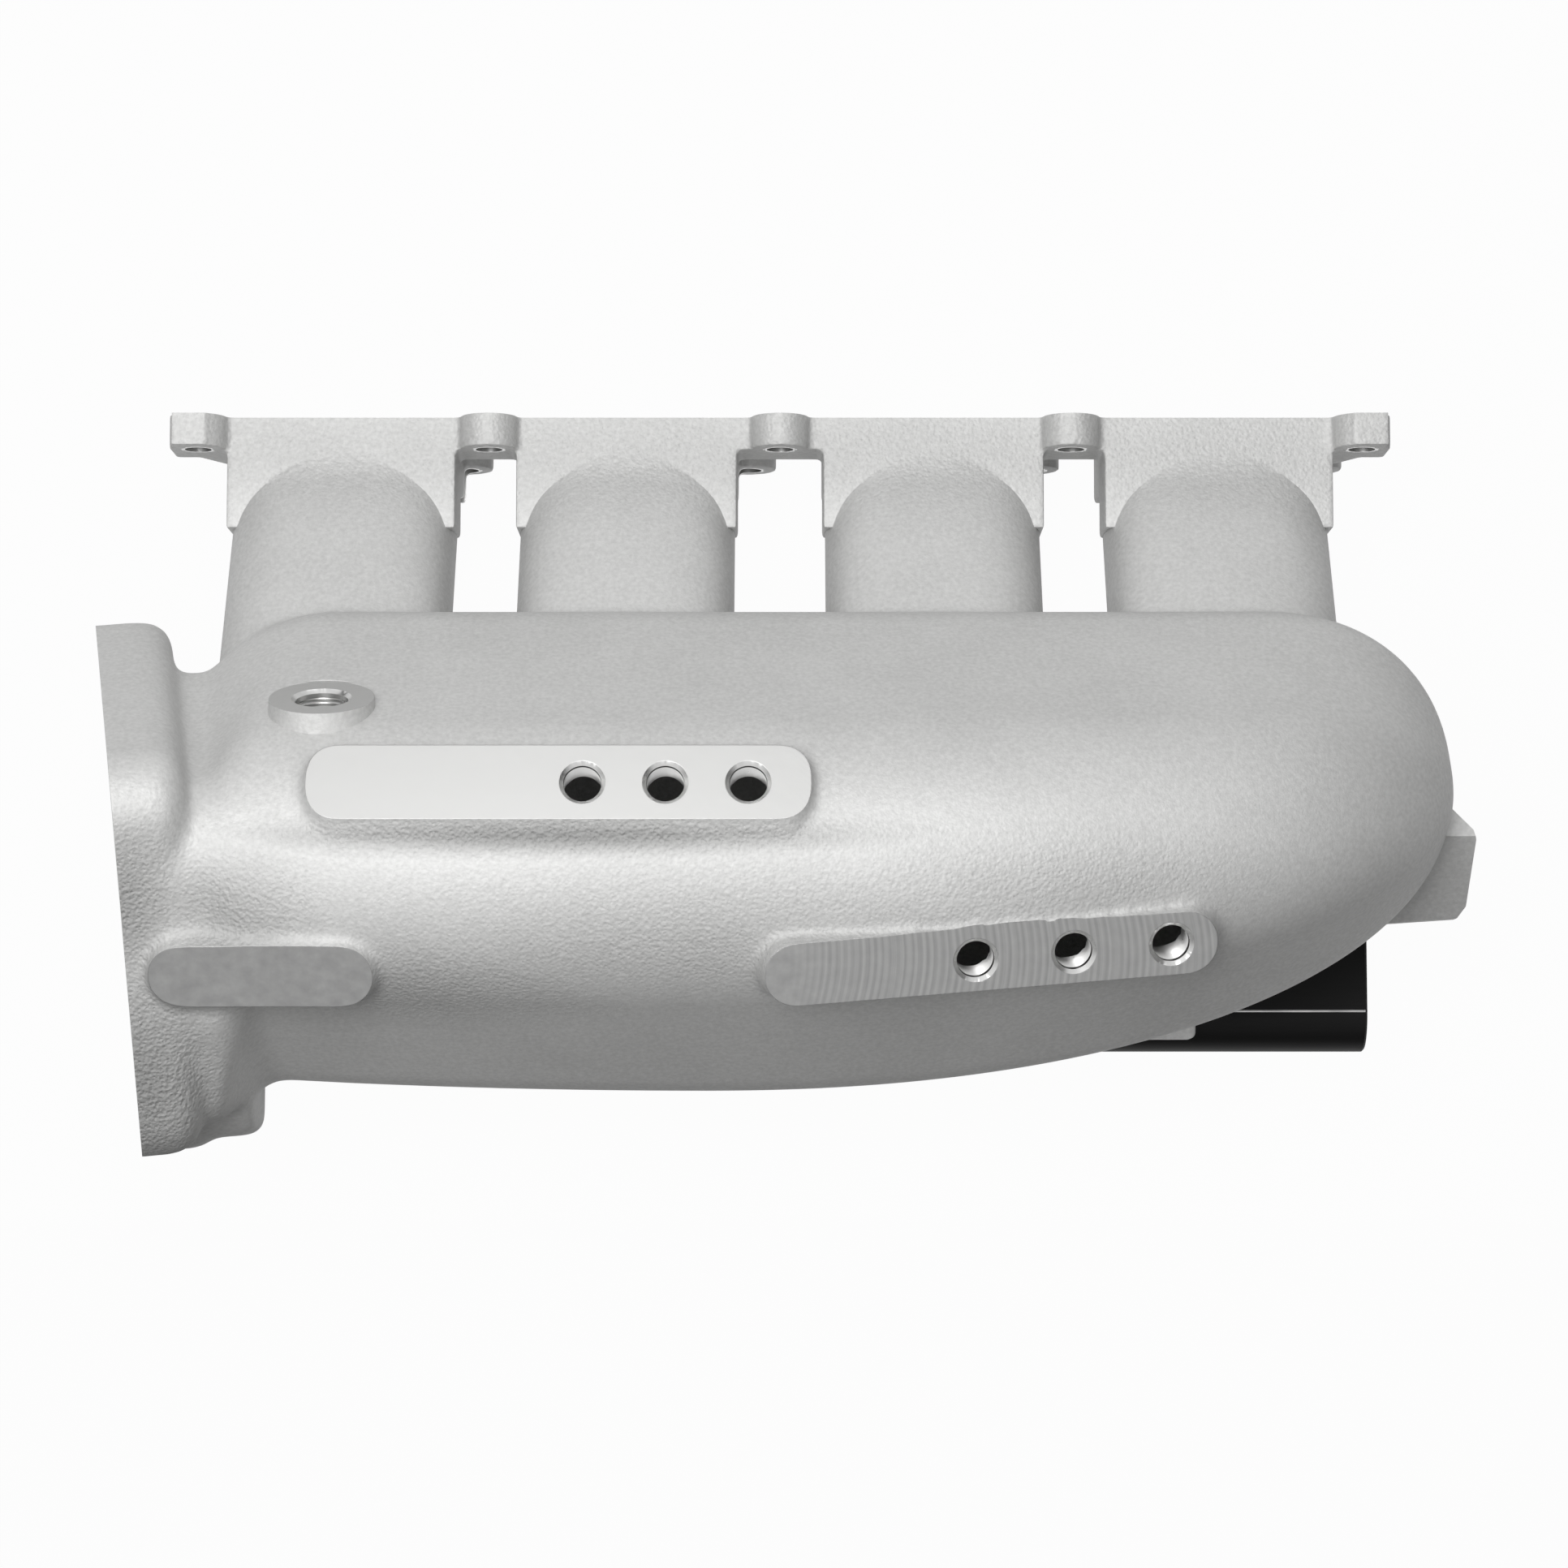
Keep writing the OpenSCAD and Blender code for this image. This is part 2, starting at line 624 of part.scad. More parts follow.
module along_rail(x) { translate([x, -rail_back, -injector_z]) rotate([0, 90, 0]) children(); }

module fuel_rail() {
    len = rail_left + rail_right;
    color(anodised) difference() {
        union() {
            along_rail(-rail_left) cylinder(r = rail_r, h = len, $fn = 96);
            translate([-rail_left, -rail_back, rail_bottom]) cube([len, rail_block_w, 2 * rail_r]);
        }
        along_rail(-rail_left - 1) cylinder(d = gallery_d, h = len + 2);
        along_rail(-rail_left - 1) cylinder(d = end_thread_d, h = end_thread_len + 1);
        along_rail(rail_right - end_thread_len) cylinder(d = end_thread_d, h = end_thread_len + 1);
        for (x = port_x) translate([x, 0, -injector_z]) rotate([90, 0, 0]) {
            translate([0, 0, -rail_face - 1]) cylinder(d = cup_d, h = cup_depth + 1);
            translate([0, 0, -rail_face]) cylinder(d = feed_d, h = rail_block_w);
        }
        for (x = [-leg_x, leg_x]) translate([x, leg_bolt_y, rail_bottom - 1]) {
            cylinder(d = rail_bolt_d + 0.6, h = 2 * rail_r + 2);
            cylinder(d = head_recess_d, h = head_recess + 1);
        }
    }
}

fitting_hex_d = 20;     // across the corners of the fitting's hexagon
fitting_hex_h = 8;
fitting_gap = 2;        // from the rail's end to the hexagon, where the seal sits
fitting_neck_d = 12;
fitting_neck_h = 5;
barb_d = 14;
barb_tip_d = 9.5;
barb_h = 4;
fitting_bore_d = 7.5;
fitting_thread_len = 11;

module rail_inlet_fitting() {
    foot = fitting_gap + fitting_hex_h;
    color(steel) along_rail(-rail_left) difference() {
        union() {
            translate([0, 0, -foot]) cylinder(d = fitting_hex_d, h = fitting_hex_h, $fn = 6);
            translate([0, 0, -foot - fitting_neck_h]) cylinder(d = fitting_neck_d, h = fitting_neck_h + 1);
            translate([0, 0, -foot - fitting_neck_h - barb_h])
                cylinder(d1 = barb_tip_d, d2 = barb_d, h = barb_h);
            translate([0, 0, -fitting_gap - 0.1]) cylinder(d = fitting_neck_d + 0.5, h = fitting_gap + 1);
            translate([0, 0, 0.5]) cylinder(d = end_thread_d - 2 * fit, h = fitting_thread_len);
        }
        translate([0, 0, -2 * foot - barb_h]) cylinder(d = fitting_bore_d, h = 4 * foot);
    }
}

inlet_seal_r = 7.25;
inlet_seal_section = 0.95;

module rail_inlet_seal() {
    color(rubber) along_rail(-rail_left - fitting_gap / 2) o_ring(inlet_seal_r, inlet_seal_section);
}

plug_len = 11.5;
plug_hex_d = 9.2;       // across the corners of the plug's socket
plug_hex_depth = 6;
plug_sink = 0.5;        // how far the plug sits inside the rail's end

module rail_end_plug() {
    color(steel) along_rail(rail_right - plug_sink - plug_len) difference() {
        cylinder(d = end_thread_d - 2 * fit, h = plug_len);
        translate([0, 0, plug_len - plug_hex_depth])
            cylinder(d = plug_hex_d, h = plug_hex_depth + 1, $fn = 6);
    }
}

washer_t = 1.6;
washer_d = 12;
head_z = rail_bottom + head_recess - washer_t;
head_d = 10;
head_hex_d = 5.8;       // across the corners of the bolt's socket
head_hex_depth = 3;
bolt_grip = 10;         // length of a rail bolt's thread in the leg
bolt_len = rail_top + bolt_grip - head_z;

module rail_bolts() {
    color(steel) for (x = [-leg_x, leg_x]) translate([x, leg_bolt_y, head_z]) difference() {
        union() {
            translate([0, 0, -rail_bolt_d]) cylinder(d = head_d, h = rail_bolt_d);
            cylinder(d = rail_bolt_d, h = bolt_len);
        }
        translate([0, 0, -rail_bolt_d - 1]) cylinder(d = head_hex_d, h = head_hex_depth + 1, $fn = 6);
    }
}

module rail_washers() {
    color(steel) for (x = [-leg_x, leg_x]) translate([x, leg_bolt_y, head_z]) difference() {
        cylinder(d = washer_d, h = washer_t);
        translate([0, 0, -1]) cylinder(d = rail_bolt_d + 0.4, h = washer_t + 2);
    }
}

// ---------- injectors ----------

module at_injector(x) { translate([x, upper_seal_y, -injector_z]) rotate([-90, 0, 0]) children(); }

// The metal body turns about z: the rail end at the upper seal, then the coil housing, the
// valve body and the nozzle beyond the lower seal
module injector(x) {
    groove = cup_d / 2 - 3.5;
    land = cup_d / 2 - 0.4;
    body = injector_d / 2;
    color(steel) at_injector(x) rotate_extrude() polygon([[0, -4.5], [4, -4.5], [land - 0.6, -4.5],
        [land - 0.6, -2], [groove, -2], [groove, 2], [land, 2], [land, 5], [5.5, 7], [5.5, 14],
        [body, 15], [body, seal_span - 22], [6.2, seal_span - 20], [6.2, seal_span - 8],
        [land, seal_span - 7], [land, seal_span - 2], [groove, seal_span - 2],
        [groove, seal_span + 2], [land - 0.6, seal_span + 2], [land - 0.6, seal_span + 4.5],
        [3.2, seal_span + 4.5], [3.2, seal_span + 14], [0, seal_span + 14]]);
}

connector_len = 20;
connector_w = 13;
connector_t = 9.5;
connector_wall = 1.4;   // over and under the socket
connector_side = 1.5;   // wall at each side of the socket
connector_root = 9;     // solid length of a connector at the injector
connector_lean = 25;
connector_out = 4.1;    // keeps its leaning foot clear of the coil housing
connector_up = 20;

module injector_connectors() {
    color(plastic) for (x = port_x) at_injector(x)
        translate([injector_d / 2 + fit + connector_out, 0, connector_up])
            rotate([0, -connector_lean, 0]) difference() {
                translate([0, -connector_w / 2, 0]) cube([connector_len, connector_w, connector_t]);
                translate([connector_root, connector_side - connector_w / 2, connector_wall])
                    cube([connector_len, connector_w - 2 * connector_side, connector_t - 2 * connector_wall]);
            }
}

module seals_at(y) {
    color(rubber) for (x = port_x) translate([x, y, -injector_z]) rotate([90, 0, 0])
        o_ring(cup_d / 2 - 1.8, 1.65);
}

module injector_upper_seals() { seals_at(upper_seal_y); }
module injector_lower_seals() { seals_at(lower_seal_y); }

head_flange();
runner(0);  // runner_1
runner(1);  // runner_2
runner(2);  // runner_3
runner(3);  // runner_4
plenum_shell();
throttle_neck();
throttle_flange();
vacuum_pad();
sensor_pad();
blank_pad();
sensor_boss();
bracket_boss();
neck_lug();
rail_leg(-leg_x);  // rail_leg_left
rail_leg(leg_x);  // rail_leg_right
fuel_rail();
rail_inlet_fitting();
rail_inlet_seal();
rail_end_plug();
rail_bolts();
rail_washers();
injector(port_x[0]);  // injector_1
injector(port_x[1]);  // injector_2
injector(port_x[2]);  // injector_3
injector(port_x[3]);  // injector_4
injector_connectors();
injector_upper_seals();
injector_lower_seals();
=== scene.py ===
import math

import bmesh
import bpy
import numpy as np
from mathutils import Matrix, Vector


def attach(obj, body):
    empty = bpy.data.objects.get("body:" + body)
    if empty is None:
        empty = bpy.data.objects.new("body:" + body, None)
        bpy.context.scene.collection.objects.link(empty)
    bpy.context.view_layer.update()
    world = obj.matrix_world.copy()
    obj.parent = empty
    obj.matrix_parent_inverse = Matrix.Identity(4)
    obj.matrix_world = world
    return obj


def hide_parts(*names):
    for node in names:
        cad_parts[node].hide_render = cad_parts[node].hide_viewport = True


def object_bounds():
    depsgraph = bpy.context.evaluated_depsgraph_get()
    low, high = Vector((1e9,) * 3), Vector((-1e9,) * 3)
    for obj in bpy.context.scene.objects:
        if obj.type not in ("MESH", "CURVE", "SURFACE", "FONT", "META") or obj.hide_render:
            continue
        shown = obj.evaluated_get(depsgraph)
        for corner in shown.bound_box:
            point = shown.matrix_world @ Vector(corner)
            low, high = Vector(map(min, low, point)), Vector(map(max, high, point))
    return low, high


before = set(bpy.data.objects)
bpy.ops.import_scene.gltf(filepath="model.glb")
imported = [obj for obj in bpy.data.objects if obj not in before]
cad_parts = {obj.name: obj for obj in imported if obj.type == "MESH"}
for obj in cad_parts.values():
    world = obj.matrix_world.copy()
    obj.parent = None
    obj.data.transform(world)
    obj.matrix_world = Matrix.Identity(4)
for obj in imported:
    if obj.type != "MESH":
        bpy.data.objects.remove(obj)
cad_low, cad_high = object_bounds()

# ----------------------------------------
# Casting: plenum. A fat round-backed box of sand-cast aluminium that tapers to a blunt nose.
# Everything cast in one pour is built as overlapping solids, fused into one skin and
# softened, so that each junction gets the fillet a foundry pattern has. Sizes are in mm.
# ----------------------------------------
MM = 0.001
skin_points = 144  # round each section of the plenum and the neck

crest_back, crest_z, crown_r = 150.0, 153.0, 49.0
nose_x, nose_back, nose_z = 208.5, 125.0, 70.0
rear_reach, front_reach, belly_z = 81.5, 68.2, 4.0
rear_r, front_r, belly_r = 32.0, 30.0, 50.0
rear_drop, front_drop = -9.0, -4.0  # centres of these two below the nose's axis
neck_x, wall = 154.0, 5.0
plenum_circles = [
    (0.0, crest_z - crown_r - nose_z, crown_r),
    (rear_reach - rear_r, rear_drop, rear_r),
    (front_r - front_reach, front_drop, front_r),
    (0.0, belly_z + belly_r - nose_z, belly_r),
]
# Where the rear, the front, the crown and the belly start to close in on the nose, and how
# square each curve is
nose_curves = [(150, 2.25), (-23, 2.14), (10, 2.1), (60, 2.2)]
# Where the rear and the front start to draw in to the neck, and how fast
rear_waist, front_waist = (-140, 0.0141), (-23, 0.0002)
body_end, body_step, nose_steps = -10.0, 6.0, 90
last_turn = 89.6  # degrees round the nose, just short of its tip


def band(circles, count, inset=0.0):
    """Points of a tight band round some circles, each facing its own even angle."""
    angles = np.arange(count) * 2 * np.pi / count
    ways = np.stack([np.cos(angles), np.sin(angles)], 1)
    c = np.array(circles)
    reach = ways @ c[:, :2].T + c[:, 2]
    best = c[np.argmax(reach, axis=1)]
    return best[:, :2] + (best[:, 2:3] - inset) * ways


def quarter(u, power):
    """A quarter of a superellipse: 1 at its start, 0 at its end."""
    return (1 - min(max(u, 0.0), 1.0) ** power) ** (1 / power)


def drawn_in(x, waist):
    """How far a wall draws in left of its waist."""
    start, rate = waist
    return rate * max(start - x, 0) ** 2


def plenum_ring(x, inset=0.0):
    """One section of the plenum, whose walls follow their own curves to the nose tip."""
    tip = nose_x - inset
    rear, front, crown, belly = [quarter((x - start) / (tip - start), power)
                                 for start, power in nose_curves]
    mid = -nose_back - (crest_back - nose_back) * front
    to_rear = (rear_reach - crest_back + nose_back) * rear - mid - nose_back
    to_rear -= drawn_in(x, rear_waist)
    to_front = (front_reach + crest_back - nose_back) * front + mid + nose_back
    to_front -= drawn_in(x, front_waist)
    p = band(plenum_circles, skin_points, inset)
    behind, above = p[:, 0] > 0, p[:, 1] > 0
    across = np.where(behind, p[:, 0] * to_rear / rear_reach, p[:, 0] * to_front / front_reach)
    up = np.where(above, p[:, 1] * crown, p[:, 1] * belly)
    return np.stack([np.full(skin_points, x), mid + across, nose_z + up], 1)


def plenum_places(inset):
    """Even along the body and closer together round the nose."""
    turns = np.radians(np.linspace(0, last_turn, nose_steps))
    nose = body_end + (nose_x - inset - body_end) * np.sin(turns)
    return np.concatenate([np.arange(-neck_x, body_end, body_step), nose])


def add_mesh(name, points, faces):
    """A new mesh object from points in mm."""
    mesh = bpy.data.meshes.new(name)
    mesh.from_pydata([tuple(float(c) * MM for c in p) for p in points], [], faces)
    mesh.update()
    made = bpy.data.objects.new(name, mesh)
    bpy.context.scene.collection.objects.link(made)
    return made


def loft(name, rings):
    """A closed solid over rings of points, with its faces outwards."""
    rings = np.array(rings)
    count, around = rings.shape[:2]
    faces = []
    for i in range(count - 1):
        low, high = i * around, (i + 1) * around
        for j in range(around):
            k = (j + 1) % around
            faces.append((low + j, low + k, high + k, high + j))
    faces.append(tuple(range(around))[::-1])
    faces.append(tuple((count - 1) * around + j for j in range(around)))
    made = add_mesh(name, rings.reshape(-1, 3), faces)
    bm = bmesh.new()
    bm.from_mesh(made.data)
    bmesh.ops.recalc_face_normals(bm, faces=bm.faces)
    bm.to_mesh(made.data)
    bm.free()
    return made


cast_parts = [loft("plenum", [plenum_ring(x) for x in plenum_places(0)])]

# ----------------------------------------
# Casting: throttle end. The neck turns the plenum's section into the square throttle
# flange, whose outer face is milled flat and whose edges stay as cast.
# ----------------------------------------
throttle_at = np.array([-203.0, -156.0, 81.5])
yaw, pitch, roll = math.radians(5.8), math.radians(8.3), math.radians(30)
flange_side, flange_corner, flange_t = 132.4, 19.0, 21.0
flange_taper = math.radians(1.7)
flange_stock = 3.0  # cast in front of the face and milled off
throttle_bore_r = 40.0
back_round, back_steps = 9.0, 8
neck_steps, neck_sink = 24, 12.0  # the neck ends inside the flange
turn_done, turn_power = 0.7, 1.5  # share of the neck over which its section changes
face_out = np.array([-math.cos(pitch) * math.cos(yaw), -math.cos(pitch) * math.sin(yaw),
                     math.sin(pitch)])
face_rear = np.array([-math.sin(yaw), math.cos(yaw), 0.0])
face_up = np.cross(face_rear, face_out)


def square_circles(half, corner):
    """Corner circles of a square turned by the flange's roll."""
    c, s, reach = math.cos(roll), math.sin(roll), half - corner
    corners = [(i * reach, j * reach) for i in (-1, 1) for j in (-1, 1)]
    return [(u * c - v * s, u * s + v * c, corner) for u, v in corners]


def face_ring(circles, depth, tapered=False):
    """A ring at some depth behind the throttle face, or on the flange's tapered back."""
    p = band(circles, skin_points)
    deep = depth + (p[:, 0] * math.tan(flange_taper) if tapered else 0.0)
    back = np.outer(np.broadcast_to(deep, (skin_points,)), face_out)
    return throttle_at - back + np.outer(p[:, 0], face_rear) + np.outer(p[:, 1], face_up)


def neck_rings(start, end):
    """Rings from the plenum's section to the flange's back, whose section changes early."""
    rings = []
    for s in np.linspace(0, 1, neck_steps):
        e = min(s / turn_done, 1) ** turn_power
        ring = start * (1 - e) + end * e
        ring[:, 0] = start[:, 0] * (1 - s) + end[:, 0] * s
        rings.append(ring)
    return rings


flange_square = square_circles(flange_side / 2, flange_corner)
# The neck meets the flange flush along the upper side and steps in from it elsewhere
neck_circles = [(4.0, 51.4, 24.0), (-32.0, 30.6, 24.0), (-52.5, 11.0, 22.0),
                (-10.1, -37.6, 28.0), (37.6, -10.1, 28.0)]
neck_end = face_ring(neck_circles, flange_t, tapered=True)
neck = neck_rings(plenum_ring(-neck_x), neck_end) + [neck_end + face_out * neck_sink]
cast_parts.append(loft("neck", neck))
flange_rings = [face_ring(flange_square, -flange_stock)]
for turn in np.linspace(0, math.pi / 2, back_steps):
    rounded = [(u, v, r - back_round * (1 - math.cos(turn))) for u, v, r in flange_square]
    depth = flange_t - back_round * (1 - math.sin(turn))
    flange_rings.append(face_ring(rounded, depth, tapered=True))
cast_parts.append(loft("throttle_flange_body", flange_rings))

# ----------------------------------------
# Casting: runners. Four rounded ducts leave the head flange level, bend and climb into the
# plenum. Each has a flat-topped root behind the flange and a round injector boss beneath.
# ----------------------------------------
port_x = [-141.7, -49.5, 49.5, 141.7]
root_w = [74.0, 71.5, 71.5, 74.0]
head_flange_t, root_step, runner_h = 10.5, 0.9, 48.0
roof_len, cheek_len, root_sink, root_lap = 25.5, 10.0, 5.0, 1.0
climb, bend_r, runner_len = math.radians(33), 45.0, 76.0
runner_points, bend_steps, climb_steps = 96, 12, 20
section_power = 2 / 3  # between an oval and a box
flare_len = 9.0
injector_z, boss_mouth_y, boss_r, boss_len = -17.0, -106.5, 11.5, 80.0
proud, boss_stock = 1.5, 1.0  # stock on faces that are milled afterwards


def runner_ring(x, y, z, lean, half_w, half_h):
    """One superelliptic section of a runner."""
    a = np.arange(runner_points) * 2 * np.pi / runner_points
    across = half_w * np.sign(np.cos(a)) * np.abs(np.cos(a)) ** section_power
    up = half_h * np.sign(np.sin(a)) * np.abs(np.sin(a)) ** section_power
    return np.stack([x + across, y + up * math.sin(lean), z + up * math.cos(lean)], 1)


def bent(a):
    """The middle of a runner's section at an angle round its bend, as y and z."""
    return -head_flange_t - bend_r * math.sin(a), bend_r * (1 - math.cos(a))


def runner_rings(i, inset, start, length, flare=0.0):
    """Sections of runner i from y = start, round the bend and up the climb."""
    x, half_w, half_h = port_x[i], root_w[i] / 2 - root_step - inset, runner_h / 2 - inset
    rings = [runner_ring(x, start, 0, 0, half_w, half_h)]
    for a in np.linspace(0, climb, bend_steps):
        rings.append(runner_ring(x, *bent(a), a, half_w, half_h))
    end_y, end_z = bent(climb)
    for d in np.linspace(0, length, climb_steps)[1:]:
        grow = flare * max(0.0, (d - length + flare_len) / flare_len) ** 2
        y, z = end_y - d * math.cos(climb), end_z + d * math.sin(climb)
        rings.append(runner_ring(x, y, z, climb, half_w + grow, half_h + grow))
    return rings


def box(name, low, high):
    """A plain block between two corners, in mm."""
    (x0, y0, z0), (x1, y1, z1) = low, high
    points = [(x, y, z) for z in (z0, z1) for x, y in ((x0, y0), (x1, y0), (x1, y1), (x0, y1))]
    faces = [(3, 2, 1, 0), (4, 5, 6, 7), (0, 1, 5, 4), (1, 2, 6, 5), (2, 3, 7, 6), (3, 0, 4, 7)]
    return add_mesh(name, points, faces)


def turned(name, profile, at, axis, count=64):
    """A solid turned about an axis through a point: the profile is (along, radius) pairs."""
    turn = Vector(axis).normalized().to_track_quat("Z", "Y").to_matrix()
    angles = [2 * math.pi * j / count for j in range(count)]
    rings = []
    for along, radius in profile:
        ring = [turn @ Vector((radius * math.cos(a), radius * math.sin(a), along)) for a in angles]
        rings.append([(at[0] + p.x, at[1] + p.y, at[2] + p.z) for p in ring])
    return loft(name, rings)


head_parts = []  # this end of the pattern is crisper, so it gets a skin of its own
roof_front, cheek_front = -head_flange_t - roof_len, -head_flange_t - cheek_len
for i in range(4):
    x, w = port_x[i], root_w[i] / 2
    cast_parts.append(loft("runner", runner_rings(i, 0, proud, runner_len)))
    head_parts.append(box("root_roof", (x - w, roof_front, 0), (x + w, -root_sink, runner_h / 2)))
    head_parts.append(box("root_sides", (x - w, cheek_front, -runner_h / 2),
                          (x + w, -root_sink, root_lap)))
    cast_parts.append(turned("injector_boss", [(0, boss_r), (boss_len, boss_r)],
                             (x, boss_mouth_y - boss_stock, injector_z), (0, 1, 0)))

# ----------------------------------------
# Casting: head flange. A long plate with bolt lugs between the runners and at its ends,
# milled flat where it meets the cylinder head.
# ----------------------------------------
bolt_pitch, lug_r, upper_hole_z, lower_hole_z, lower_shift = 94.0, 9.2, 24.0, 17.5, 10.5
lug_root_h, end_lug_shift, end_lug_w = 16.0, 2.0, 11.0
end_x = 2 * bolt_pitch
upper_x = [i * bolt_pitch for i in range(-2, 3)]
lower_x = [x - lower_shift for x in upper_x[1:]]
# The web's right end as (x, z), from the end lug to the lower edge and back up
gusset = [(end_x + 6, 15.8), (end_x - 8.5, -12), (end_x - 17, -12), (end_x - 17, 4)]


def prism(name, outline, low, high, axis="Y"):
    """A solid between two planes across an axis, from an outline in the other two."""
    rings = []
    for level in (low, high):
        rings.append([(u, level, v) if axis == "Y" else (u, v, level) for u, v in outline])
    return loft(name, rings)


def plate(name, x, half_w, low_z, high_z):
    """A block as thick as the head flange, centred on x."""
    return box(name, (x - half_w, -head_flange_t, low_z), (x + half_w, proud, high_z))


def round_lug(name, x, z):
    """A round bolt lug as thick as the head flange."""
    profile = [(0, lug_r), (head_flange_t + proud, lug_r)]
    return turned(name, profile, (x, -head_flange_t, z), (0, 1, 0))


for x, w in zip(port_x, root_w):
    head_parts.append(plate("port_block", x, w / 2, -runner_h / 2, runner_h / 2))
web = [(-end_x, runner_h / 2), (end_x, runner_h / 2)] + gusset + [(-u, v) for u, v in gusset[::-1]]
head_parts.append(prism("flange_web", web, -head_flange_t, proud))
for x in upper_x:
    head_parts.append(round_lug("upper_lug", x, upper_hole_z))
    head_parts.append(plate("lug_root", x, lug_r, upper_hole_z - lug_root_h, upper_hole_z))
for x in lower_x:
    head_parts.append(round_lug("lower_lug", x, -lower_hole_z))
for s in (-1, 1):
    head_parts.append(plate("end_lug", s * (end_x + end_lug_shift), end_lug_w / 2,
                            upper_hole_z - lug_r, upper_hole_z + lug_r))

# ----------------------------------------
# Casting: pads and bosses. Drafted blocks cast on the plenum and milled on top afterwards,
# a lug that ties the flange to the neck, a bracket boss on the nose and two rail legs.
# ----------------------------------------
pad_stock = 3.0  # a pad stands this proud until it is milled
upper_pad_size = (147.5, 22.4, 9.0)  # length, width and corner of the milled top
lower_pad_size = (135.0, 19.4, 9.5)
blank_pad_size = (66.0, 20.0, 9.8)
sensor_boss_size = (31.5, 31.5, 15.7)
stadium_points = 96


def placed(at, tilt_x=0.0, tilt_y=0.0, tilt_z=0.0):
    """A place in mm with its tilts in degrees, as the pads are set on the plenum."""
    x, y, z = [Matrix.Rotation(math.radians(tilt), 4, axis)
               for tilt, axis in ((tilt_x, "X"), (tilt_y, "Y"), (tilt_z, "Z"))]
    return Matrix.Translation(Vector(at)) @ (z @ y) @ x


def stadium(length, width, corner):
    """Outline of a rounded rectangle."""
    half_l, half_w = length / 2 - corner, width / 2 - corner
    circles = [(i * half_l, j * half_w, corner) for i in (-1, 1) for j in (-1, 1)]
    return band(circles, stadium_points)


def pad(name, place, size, depth, draft, lean=0.0):
    """A block that widens downwards by its draft and may lean."""
    length, width, corner = size
    rings = []
    for level in (pad_stock, -depth):
        grow = -draft * level
        outline = stadium(length + 2 * grow, width + 2 * grow, corner + grow)
        rings.append([tuple(place @ Vector((u, v + lean * level, level))) for u, v in outline])
    return loft(name, rings)


upper_pad = placed((-64.45, -130.4, 152.6), tilt_x=-17)
lower_pad = placed((62.5, -181.3, 141.0), tilt_x=22, tilt_y=6, tilt_z=5)
blank_pad = placed((-152.0, -186.6, 141.5), tilt_x=30)
sensor_boss = placed((-136.5, -102.6, 125.8), tilt_x=-66)
cast_parts += [
    pad("upper_pad_body", upper_pad, upper_pad_size, depth=14, draft=0.3),
    pad("lower_pad_body", lower_pad, lower_pad_size, depth=14, draft=0.15),
    pad("blank_pad_body", blank_pad, blank_pad_size, depth=12, draft=0.35),
    pad("upper_pad_skirt", upper_pad, upper_pad_size, depth=12, draft=0.1, lean=0.95),
]
crisp_parts = [pad("sensor_boss_body", sensor_boss, sensor_boss_size, depth=16, draft=0.06)]

# Outlines as (x, y), seen from above
bracket = [(168, -118), (201, -122), (216, -137), (217, -140), (216.8, -159.5), (214.5, -163),
           (185, -165), (168, -160)]
lug = [(-191, -206), (-191, -236), (-187, -236), (-181, -235.3), (-178, -232.4),
       (-165, -231.5), (-161.8, -228.5), (-161.8, -206)]
bracket_z, bracket_h = 30.0, 34.0
bracket_crease, bracket_fall, bracket_run = -139.0, 1.1, 35.0  # its top slopes off to the front
lug_low, lug_t, lug_slope, lug_toe = 52.0, 14.0, 1.8, -237.8
lug_top = [(u, v, lug_low + lug_slope * (v - lug_toe)) for u, v in lug]
cast_parts.append(loft("neck_lug_body", [[(u, v, lug_low - lug_t) for u, v in lug], lug_top]))
leg_x, leg_w, leg_deep, leg_corner, rail_top = 124.7, 19.5, 34.0, 2.2, -4.5
leg_y, leg_front, leg_high = -183.0, -200.0, 44.0
foot_h, leg_inset = 10.0, 9.0  # the leg stands back from the front of its foot
foot_rim, foot_run = 1.0, 1.5  # the foot's top falls off from below its height to above it
for s in (-1, 1):
    foot = [(s * leg_x + u, leg_y + v) for u, v in stadium(leg_w, leg_deep, leg_corner)]
    leg = [(u, max(v, leg_front + leg_inset)) for u, v in foot]
    levels = [(foot, rail_top - proud), (foot, rail_top + foot_h - foot_rim),
              (leg, rail_top + foot_h + foot_run), (leg, leg_high)]
    rings = [[(u, v, z) for u, v in outline] for outline, z in levels]
    crisp_parts.append(loft("rail_leg_body", rings))

# ----------------------------------------
# Casting: one skin. The body is fused with wide soft fillets, most of all behind the throttle
# flange, and the head end with tight ones. The bosses keep crisp edges with a small round.
# ----------------------------------------
body_voxel, body_rounds = 1.15, 14
head_voxel, head_rounds = 0.85, 5
smooth_share = 0.5
flange_start, flange_full, flange_rounds = 8.0, 16.0, 40  # depths behind the throttle face
edge_round, edge_steps, edge_angle = 0.9, 3, math.radians(28)
slope_high, slope_ends = 20.0, (150, 235)  # room for the cut above and beside the bracket boss


def join(parts, name):
    """Several objects as one."""
    with bpy.context.temp_override(active_object=parts[0], object=parts[0],
                                   selected_objects=parts, selected_editable_objects=parts):
        bpy.ops.object.join()
    parts[0].name = name
    parts[0].data.name = name
    return parts[0]


def bake(made):
    """Applies an object's modifiers to its mesh."""
    shape = made.evaluated_get(bpy.context.evaluated_depsgraph_get())
    mesh = bpy.data.meshes.new_from_object(shape)
    made.modifiers.clear()
    old = made.data
    made.data = mesh
    bpy.data.meshes.remove(old)
    return made


